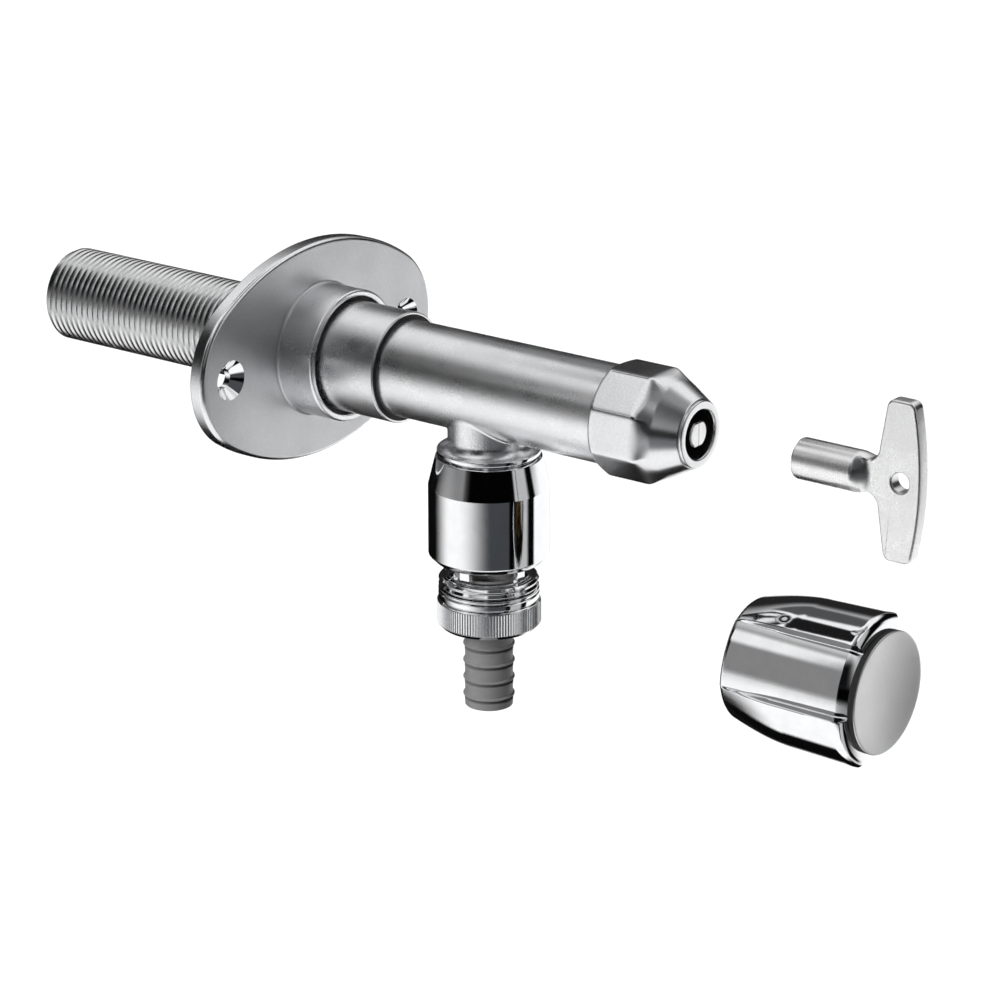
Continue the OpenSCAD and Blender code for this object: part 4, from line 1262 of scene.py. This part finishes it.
@dataclass
class HoseUnion:
    """Knurled union nut and the barbed hose tail that it holds."""

    thread_r: float = 13.3
    collar_r: float = 15.0
    top_z: float = -61.7
    knurl_r: float = 15.5
    knurl_top: float = -65.784
    knurl_low: float = -72.384
    low_z: float = -73.784
    chamfer: float = 1.4
    floor_z: float = -71.784
    hole_r: float = 8.05
    ridge_count: int = 112
    ridge_depth: float = 0.25
    groove_z: tuple[float, float] = (-62.7, -65.0)
    groove_half: float = 0.45
    groove_depth: float = 0.6
    tail_r: float = 7.15
    groove_r: float = 6.0
    barb_r: float = 7.7
    tail_bore_r: float = 5.2
    flange_r: float = 12.9
    flange_top: float = -70.234
    flange_low: float = -71.734
    barb_start: float = 5.9
    barb_pitch: float = 5.35
    barb_count: int = 4
    tail_low: float = -99.134
    tail_round: float = 1.3
    tail_mouth: float = 0.4

    def nut(self, finishes: Finishes, knurls: NodeTree) -> None:
        """Makes the nut with its two grooves and its knurl.

        Args:
            finishes: the object's materials.
            knurls: the tree that makes a knurl.
        """
        core_r = self.knurl_r - self.ridge_depth
        grooves = [(self.collar_r - (0 if step else self.groove_depth),
                    z - step * self.groove_half, CRISP)
                   for z in self.groove_z for step in (-1, 0, 1)]
        nut = solid("knurled_union_nut", [turned(OUTLET, [
            (self.thread_r, self.top_z, BROKEN), (self.collar_r, self.top_z, EASED), *grooves,
            (self.collar_r, self.knurl_top, KEEN), (core_r, self.knurl_top, KEEN),
            (core_r, self.knurl_low, KEEN), (self.knurl_r - THIN, self.knurl_low, CRISP),
            (self.knurl_r - self.chamfer, self.low_z, LIPPED), (self.hole_r, self.low_z, EASED),
            (self.hole_r, self.floor_z, KEEN), (self.thread_r, self.floor_z, KEEN)],
            FINE_SEGMENTS)])
        # A square bar set edge on reaches out by half its diagonal
        side = FULL_TURN * core_r / self.ridge_count / math.sqrt(2)
        join(nut, grow("knurl", knurls, {
            "Radius": (self.knurl_r - side / math.sqrt(2)) * MM, "Count": self.ridge_count,
            "Ridge": side * MM, "Length": (self.knurl_top - self.knurl_low) * MM},
            OUTLET, self.knurl_low, finishes.satin_chrome))
        seat(nut, "union", ["union_nut"],
             [finishes.bright_chrome, finishes.satin_chrome])
        paint(nut, 1, lambda spot, normal: self.knurl_low < spot.z < self.knurl_top)

    def tail(self, finishes: Finishes) -> None:
        """Makes the tail, with a groove cut under each barb.

        Args:
            finishes: the object's materials.
        """
        outline = [(self.tail_bore_r, self.tail_low, self.tail_mouth),
                   (self.tail_bore_r, self.flange_top, BROKEN),
                   (self.flange_r, self.flange_top, BROKEN),
                   (self.flange_r, self.flange_low, BROKEN),
                   (self.tail_r, self.flange_low, KEEN)]
        # One barb from the top down: radius, distance from its edge and round
        barb = ((self.tail_r, 0.5, KEEN), (self.barb_r, 0.15, KEEN), (self.barb_r, -0.2, 0.08),
                (self.groove_r, -0.35, 0.03), (self.groove_r, -1.25, 0.03),
                (self.tail_r + 0.15, -1.35, KEEN), (self.tail_r, -0.6 * self.barb_pitch, 0.6))
        for i in range(self.barb_count):
            edge = self.low_z - self.barb_start - i * self.barb_pitch
            outline += [(r, edge + rise, corner) for r, rise, corner in barb]
        outline.append((self.tail_r, self.tail_low, self.tail_round))
        tail = solid("barbed_hose_tail", [turned(OUTLET, outline)])
        seat(tail, "tail", ["hose_tail"], [finishes.grey_nylon])

    def build(self, finishes: Finishes, knurls: NodeTree) -> None:
        """Makes the nut and the tail.

        Args:
            finishes: the object's materials.
            knurls: the tree that makes a knurl.
        """
        self.nut(finishes, knurls)
        self.tail(finishes)


@dataclass
class SocketKey:
    """Flat key with a socket for the spindle's flats, shown taken off."""

    tube_r: float = 5.9
    tube_len: float = 18.5
    tube_mid: float = 9.0
    tube_edge: float = 0.6
    socket_r: float = 4.06
    socket_mouth: float = 0.4
    half_drive: float = 3.66
    socket_depth: float = 14.0
    neck_u: float = 23.5
    neck_half: float = 4.7
    neck_steps: int = 13
    half_t: float = 2.25
    handle_u: float = 26.0
    fillet_r: float = 4.0
    fillet_steps: int = 9
    half_h: float = 23.0
    end_low_u: float = 28.3
    end_u: float = 36.5
    end_r: float = 2.4
    front_u: float = 39.1
    bow_steps: int = 15
    hole_u: float = 32.8
    hole_r: float = 2.8
    blade_sunk: float = 1.0
    edge: float = 0.9
    edge_steps: int = 3
    edge_angle: float = 50.0
    sharp: float = 36.0
    segments: int = 128

    def blade(self) -> Object:
        """Makes the flat handle with its ring hole and soft edges.

        Returns:
            The handle.
        """
        foot_u, foot_v = self.handle_u - self.fillet_r, self.neck_half + self.fillet_r
        back = self.front_u - self.end_u
        bow_r = (self.half_h ** 2 + back ** 2) / (2 * back)
        half = [(self.tube_len - self.blade_sunk, self.neck_half)]
        half += [(foot_u + self.fillet_r * math.sin(a), foot_v - self.fillet_r * math.cos(a))
                 for a in np.linspace(0, QUARTER_TURN, self.fillet_steps)]
        bow = [(self.front_u - bow_r + math.sqrt(bow_r ** 2 - v * v), v)
               for v in np.linspace(self.half_h - 2 * self.end_r, 0, self.bow_steps)]
        half += round_corners([
            (self.handle_u, foot_v, 0), (self.end_low_u, self.half_h, self.end_r),
            (self.end_u, self.half_h, self.end_r), (*bow[0], 0)])[1:-1].tolist()
        half += bow
        outline = half + [(u, -v) for u, v in reversed(half[:-1])]
        sides = np.array([[(t, v, u) for u, v in outline] for t in (-self.half_t, self.half_t)])
        blade = solid("key_blade", [skin(KEY.place(sides), wrap=False)])
        mend(blade.data, fill=True)
        across = Axis((0, KEY.origin[1] - self.hole_u, 0), (0, 1, 0), (0, 0, 1), (1, 0, 0))
        over = 5
        cut(blade, [solid("ring_hole", [turned(across, [
            (0, -over, 0), (self.hole_r, -over, 0), (self.hole_r, over, 0), (0, over, 0)],
            HOLE_SEGMENTS)])])
        soft = blade.modifiers.new("edges", "BEVEL")
        soft.width, soft.segments = self.edge * MM, self.edge_steps
        soft.limit_method, soft.angle_limit = "ANGLE", math.radians(self.edge_angle)
        return settle(blade)

    def build(self, finishes: Finishes) -> None:
        """Makes the key of its tube, neck and blade.

        Args:
            finishes: the object's materials.
        """
        turn = directions(self.segments)
        slab = np.minimum(flat(self.half_t, np.cos(turn)), flat(self.neck_half, np.sin(turn)))
        drive = np.minimum(self.socket_r, flat(self.half_drive, np.sin(turn)))
        round_r = np.full_like(turn, self.tube_r)
        rows = [(0 * turn, self.socket_depth), (drive, self.socket_depth), (drive, SOFT),
                (drive + self.socket_mouth, 0.0), (round_r - self.tube_edge, 0.0),
                (round_r - CRISP, CRISP), (round_r, self.tube_edge), (round_r, self.tube_mid)]
        rows += [(round_r + (slab - round_r) * ease(t),
                  self.tube_len + (self.neck_u - self.tube_len) * t)
                 for t in np.linspace(0, 1, self.neck_steps)]
        rows.append((0 * turn, self.neck_u))
        key = solid("flat_socket_key", [lofted(KEY, rows, wrap=False)])
        join(key, self.blade())
        seat(key, "key", ["socket_key"], [finishes.cast_zinc], self.sharp)


@dataclass
class LobedKnob:
    """Hollow knob with three lobes and a satin disc, shown taken off."""

    core_r: float = 17.8
    panel_r: float = 26.0
    panel_mid_r: float = 17.1
    length: float = 42.4
    # Angles of a lobe are in degrees
    lobe_apart: float = 120.0
    lobe_turn: float = 97.0
    lobe_half: float = 27.5
    flank: float = 1.3
    overhang: float = 4.5
    back_lobe_r: float = 21.6
    lobe_r: float = 22.2
    lobe_start: float = 22.0
    lobe_front_round: float = 2.4
    back_round: float = 1.2
    back_rows: int = 6
    side_rows: int = 60
    front_len: float = 5.0
    front_rows: int = 24
    slope_len: float = 4.0
    slope_draw: float = 1.2
    slope_power: float = 1.2
    bore_r: float = 15.6
    bore_depth: float = 34.4
    disc_r: float = 17.7
    disc_t: float = 2.0
    disc_seat: float = 2.5
    disc_edge: float = 0.8
    disc_sunk: float = 0.5
    disc_break: float = 0.6
    disc_lift: float = 0.2
    dish: float = 1.1
    dish_steps: int = 10
    segments: int = 720
    sharp: float = 40.0

    def stations(self) -> np.ndarray:
        """Gives the places of the knob's loops, closer together at its two ends."""
        back = np.cos(np.linspace(0, QUARTER_TURN, self.back_rows))
        front = np.cos(np.linspace(0, QUARTER_TURN, self.front_rows))
        sides = np.linspace(self.back_round, self.length - self.front_len, self.side_rows)
        return np.concatenate((self.back_round * (1 - back), sides[1:],
                               self.length - self.front_len * front[1:]))

    def shell(self) -> Shell:
        """Makes the knob as one field of radii.

        Returns:
            The knob as one closed shell.
        """
        turn = np.degrees(directions(self.segments))
        mid = self.lobe_apart / 2
        beside = (turn - self.lobe_turn + mid) % self.lobe_apart - mid
        off = np.abs(beside)
        lobe = 1 - ease((off - self.lobe_half + self.flank) / (2 * self.flank))
        lean = np.radians(mid - off)
        sunk = self.panel_r - self.panel_mid_r
        panel = np.sqrt(self.panel_r ** 2 - (sunk * np.sin(lean)) ** 2) - sunk * np.cos(lean)

        def drop(r: float, past: float) -> float:
            """Gives how far a round edge has fallen, by how far past its start a point is."""
            return r - math.sqrt(max(r ** 2 - max(past, 0) ** 2, 0))

        rows = []
        for t in self.stations():
            swell = math.sin(min(t / self.lobe_start, 1.0) * math.pi / 2)
            ahead = max(t - self.lobe_start, 0) / (self.length - self.lobe_start)
            rise = (self.core_r + (self.back_lobe_r - self.core_r) * swell
                    + ahead * (self.lobe_r - self.back_lobe_r))
            rise -= drop(self.lobe_front_round, t - self.length + self.lobe_front_round)
            near = max(t - self.length + self.slope_len, 0) / self.slope_len
            low = panel - self.slope_draw * near ** self.slope_power
            rows.append((lobe * rise + (1 - lobe) * low
                         - drop(self.back_round, self.back_round - t), t))
        rows += [(np.full_like(turn, r), t) for r, t in (
            (self.disc_r - self.disc_seat, self.length), (0, self.length), (0, self.bore_depth),
            (self.bore_r, self.bore_depth), (self.bore_r, EASED), (self.bore_r + EASED, 0))]
        height = np.array([(r - self.core_r) / (self.lobe_r - self.core_r) for r, _ in rows])
        lean_out = np.radians(self.overhang * np.clip(beside / self.lobe_half, -1, 1))
        return lofted(KNOB, rows, shift=lean_out * np.clip(height, 0, 1))

    def build(self, finishes: Finishes) -> None:
        """Makes the knob and its disc.

        Args:
            finishes: the object's materials.
        """
        knob = solid("lobed_knob", [self.shell()])
        seat(knob, "knob", ["knob_shell"], [finishes.bright_chrome], self.sharp)
        front, back = self.length + self.disc_t, self.length - self.disc_sunk
        face_r = self.disc_r - self.disc_edge
        face = [(r, front - self.dish * (1 - (r / face_r) ** 2), 0)
                for r in np.linspace(face_r, 0, self.dish_steps)]
        disc = solid("knob_disc", [turned(KNOB, [
            (0, back, 0), (self.disc_r - self.disc_break, back, 0),
            (self.disc_r, self.length + self.disc_lift, EASED), (self.disc_r, front, SOFT),
            *face], FINE_SEGMENTS)])
        seat(disc, "knob", ["knob_cap"], [finishes.satin_nickel, finishes.nitrile])
        # Painted shade: all of the disc that doesn't face the front is black, standing in for the
        # shadowed gap between the knob and its disc
        front_facing = -0.3
        paint(disc, 1, lambda spot, normal: normal.y > front_facing)


class InnerWorks:
    """CAD pieces inside the tap that keep their own shape."""

    # Slots of the record whose finish has another name here
    FINISH_OF = {"black_rubber": "nitrile", "pale_plastic": "acetal",
                 "grey_plastic": "grey_nylon", "satin_disc": "satin_nickel"}

    def build(self, finishes: Finishes) -> None:
        """Gives each CAD node the material of its slot in the record.

        Args:
            finishes: the object's materials.
        """
        for row in frame["record"]["subparts"]:
            slot = row["material_slot"]
            mesh = frame["nodes"][row["node"]].data
            mesh.materials.clear()
            mesh.materials.append(getattr(finishes, self.FINISH_OF.get(slot, slot)))
        LOG.info("inner works dressed")


# The studio

def aim(thing: Object, way: Vector) -> None:
    """Turns a camera or lamp to look along a direction."""
    thing.rotation_euler = way.to_track_quat("-Z", "Y").to_euler()


def seen(tree: NodeTree) -> NodeSocket:
    """Tells where the camera looks from other light.

    Args:
        tree: the tree that asks.

    Returns:
        1 where the camera looks, straight or by a mirror or glass, and 0 for other light.
    """
    path = add_node(tree, "ShaderNodeLightPath").outputs
    both = add_node(tree, "ShaderNodeMath", {"operation": "ADD"}, {
        0: path["Is Camera Ray"], 1: path["Is Glossy Ray"]})
    return add_node(tree, "ShaderNodeMath", {"operation": "ADD", "use_clamp": True}, {
        0: both.outputs[0], 1: path["Is Transmission Ray"]}).outputs[0]


@dataclass(frozen=True)
class Card:
    """A flag or reflector that only shiny surfaces see, as part of a ball round the object.

    Azimuth is to the right of the camera's side and elevation above level, both in degrees. The
    four soft widths are how far the card fades in from its left, right, low and high edge.
    """

    name: str
    azimuth: tuple[float, float]
    elevation: tuple[float, float]
    shade: str
    soft: tuple[float, float, float, float]

    def make(self) -> Material:
        """Makes the card's material, which glows with its shade on the inside of the ball.

        Returns:
            The material.
        """
        material = bpy.data.materials.new(self.name)
        material.use_nodes = True
        tree = material.node_tree
        tree.nodes.clear()
        # The side that looks outwards is black
        inner = add_node(tree, "ShaderNodeNewGeometry").outputs["Backfacing"]
        glow = add_node(tree, "ShaderNodeEmission", links={
            "Color": linear(self.shade), "Strength": inner})
        clear = add_node(tree, "ShaderNodeBsdfTransparent")
        edge = add_node(tree, "ShaderNodeAttribute", {"attribute_name": "fade"})
        both = add_node(tree, "ShaderNodeMixShader", links={
            0: edge.outputs["Fac"], 1: clear.outputs[0], 2: glow.outputs[0]})
        add_node(tree, "ShaderNodeOutputMaterial", links={"Surface": both.outputs[0]})
        return material


@dataclass
class Studio:
    """Camera, pale floor, soft light and the cards that are the object's backdrop."""

    camera_at: Point = (-843.24, -710.26, 334.09)
    look_at: Point = (-36.24, -100.0, -18.322)
    lens: float = 137.44
    sensor: float = 36.0
    # In metres
    clip: tuple[float, float] = (0.01, 50.0)
    floor_z: float = -620.0
    floor_t: float = 10.0
    floor_half: float = 9000.0
    floor_bounce: str = "#7e7e7e"
    centre: Point = (0.0, -80.0, -30.0)
    card_r: float = 580.0
    card_step: float = 6.0
    card_columns: int = 41
    card_rows: int = 25
    fill: float = 0.1
    side_light: float = 3.3
    side_azimuth: float = -50.0
    side_elevation: float = 32.0
    top_light: float = 1.7
    light_width: float = 35.0
    # Each one hangs nearer than the one before it
    cards: tuple[Card, ...] = (
        Card("left_high_flag", (-128, -4), (-20, 60), "#101112", (8, 14, 36, 22)),
        Card("left_low_flag", (-196, -78), (-70, 12), "#0c0c0c", (14, 44, 22, 12)),
        Card("left_edge_flag", (-166, -116), (-20, 24), "#0c0c0c", (14, 12, 10, 10)),
        Card("back_flag", (138, 236), (-10, 50), "#262627", (14, 14, 8, 26)),
        Card("under_flag", (60, 250), (-90, -40), "#0a0a0a", (30, 20, 1, 14)),
        Card("right_high_flag", (80, 150), (-4, 40), "#0a0a0a", (6, 12, 8, 14)),
        Card("front_top_flag", (-40, 130), (56, 90), "#8f8f8f", (20, 20, 12, 1)),
        Card("camera_low_flag", (-62, 48), (-40, 6), "#43474a", (66, 4, 14, 8)),
        Card("camera_top_flag", (-12, 48), (2, 72), "#4a4c4e", (12, 4, 10, 12)),
        Card("camera_level_flag", (-60, 48), (-10, 18), "#030303", (24, 4, 10, 8)),
        Card("strip_reflector", (46, 84), (-44, 50), "#c0c0c0", (3, 8, 6, 10)),
        Card("strip_left_flag", (36, 51), (-44, 56), "#030303", (4, 4, 6, 10)),
        Card("strip_right_flag", (74, 97), (-44, 40), "#040404", (7, 5, 6, 8)),
        Card("knob_grey_card", (-68, -46), (-8, 36), "#8a8a8a", (2.5, 8, 8, 6)),
        Card("knob_white_card", (-75, -54), (28, 48), "#fbfbfb", (3, 8, 6, 6)),
        Card("knob_crease_flag", (-164, -108), (59.5, 76), "#1c1c1d", (6, 6, 2, 4)),
        Card("knob_top_flag", (-196, -164), (34, 60), "#545556", (6, 4, 6, 4)),
    )

    def camera(self) -> None:
        """Places the camera where the photograph was taken from."""
        data = bpy.data.cameras.new("camera")
        data.lens, data.sensor_width, data.sensor_fit = self.lens, self.sensor, "HORIZONTAL"
        data.clip_start, data.clip_end = self.clip
        camera = put("camera", data)
        camera.location = Vector(self.camera_at) * MM
        aim(camera, Vector(self.look_at) - Vector(self.camera_at))
        bpy.context.scene.camera = camera

    def toward(self, azimuth: float, elevation: float) -> Vector:
        """Gives a direction from the object.

        Args:
            azimuth: degrees to the right of the camera's side.
            elevation: degrees above level.

        Returns:
            The direction, one unit long.
        """
        ahead = Vector(self.camera_at) - Vector(self.look_at)
        turn = math.atan2(ahead.y, ahead.x) + math.radians(azimuth)
        rise = math.radians(elevation)
        level = math.cos(rise)
        return Vector((level * math.cos(turn), level * math.sin(turn), math.sin(rise)))

    def light(self) -> None:
        """Sets the white surround and two wide soft lights, from the side and from the top."""
        world = bpy.data.worlds.new("white_surround")
        world.use_nodes = True
        tree = world.node_tree
        shine = tree.nodes["Background"]
        shine.inputs["Color"].default_value = linear("#ffffff")
        level = add_node(tree, "ShaderNodeMapRange", links={
            "Value": seen(tree), "To Min": self.fill, "To Max": 1.0})
        tree.links.new(level.outputs["Result"], shine.inputs["Strength"])
        # Picking the surround by the surface alone keeps the cards before it in dull metal too
        world.cycles.sampling_method = "NONE"
        bpy.context.scene.world = world
        side = self.toward(self.side_azimuth, self.side_elevation)
        for name, strength, way in (("side_light", self.side_light, side),
                                    ("top_light", self.top_light, Vector((0, 0, 1)))):
            data = bpy.data.lights.new(name, "SUN")
            data.energy, data.angle = strength, math.radians(self.light_width)
            lamp = put(name, data)
            aim(lamp, -way)
            lamp.visible_glossy = False

    def floor(self) -> None:
        """Lays the pale floor, which throws little light back up at the object."""
        reach = self.floor_half
        floor = solid("floor", [block((-reach, -reach, self.floor_z - self.floor_t),
                                      (reach, reach, self.floor_z))])
        # Matt white paint on a board: even, with no gloss
        material = Moulded("pale_floor", "#fbfbfb", "#f9f9f9", rough=0.9, spark_mm=40.0,
                           depth_mm=0.0, ior=1.45).make()
        tree, base = material.node_tree, shader_of(material).inputs["Base Color"]
        tone = add_node(tree, "ShaderNodeMix", {"data_type": "RGBA"}, {
            "Factor": seen(tree), 6: linear(self.floor_bounce), 7: base.links[0].from_socket})
        tree.links.new(tone.outputs[2], base)
        floor.data.materials.append(material)

    def hang(self, plan: Card, reach: float) -> None:
        """Hangs one card.

        Args:
            plan: its name, place, shade and soft edges.
            reach: how far it stands from the middle of the object, in millimetres.
        """
        (first, last), (low, high) = plan.azimuth, plan.elevation
        points, fade = [], []
        for v in np.linspace(low, high, self.card_rows):
            for u in np.linspace(first, last, self.card_columns):
                points.append((Vector(self.centre) + reach * self.toward(u, v)) * MM)
                inset = np.array((u - first, last - u, v - low, high - v)) / np.array(plan.soft)
                fade.append(float(ease(inset).prod()))
        n = self.card_columns
        faces = [(i * n + j, i * n + j + 1, (i + 1) * n + j + 1, (i + 1) * n + j)
                 for i in range(self.card_rows - 1) for j in range(n - 1)]
        mesh = bpy.data.meshes.new(plan.name)
        mesh.from_pydata(points, [], faces)
        mesh.attributes.new("fade", "FLOAT", "POINT").data.foreach_set("value", fade)
        mesh.materials.append(plan.make())
        card = put(plan.name, mesh)
        card.visible_camera = card.visible_diffuse = False
        card.visible_shadow = card.visible_transmission = False

    def build(self) -> None:
        """Sets up the whole studio."""
        self.camera()
        self.light()
        self.floor()
        for i, plan in enumerate(self.cards):
            self.hang(plan, self.card_r - i * self.card_step)
        bpy.context.scene.view_settings.view_transform = "Standard"
        LOG.info("studio ready: %d cards", len(self.cards))


def main() -> None:
    """Builds the object, piece by piece, and the studio round it."""
    logging.basicConfig(level=logging.INFO, format="%(name)s: %(message)s")
    Studio().build()
    finishes = Finishes()
    InnerWorks().build(finishes)
    WallTube().build(finishes, thread_tree())
    for assembly in (WallFlange(), TapBody(), Head(), VacuumBreaker(), CheckSpring()):
        assembly.build(finishes)
    HoseUnion().build(finishes, knurl_tree())
    SocketKey().build(finishes)
    LobedKnob().build(finishes)


if __name__ == "__main__":
    main()
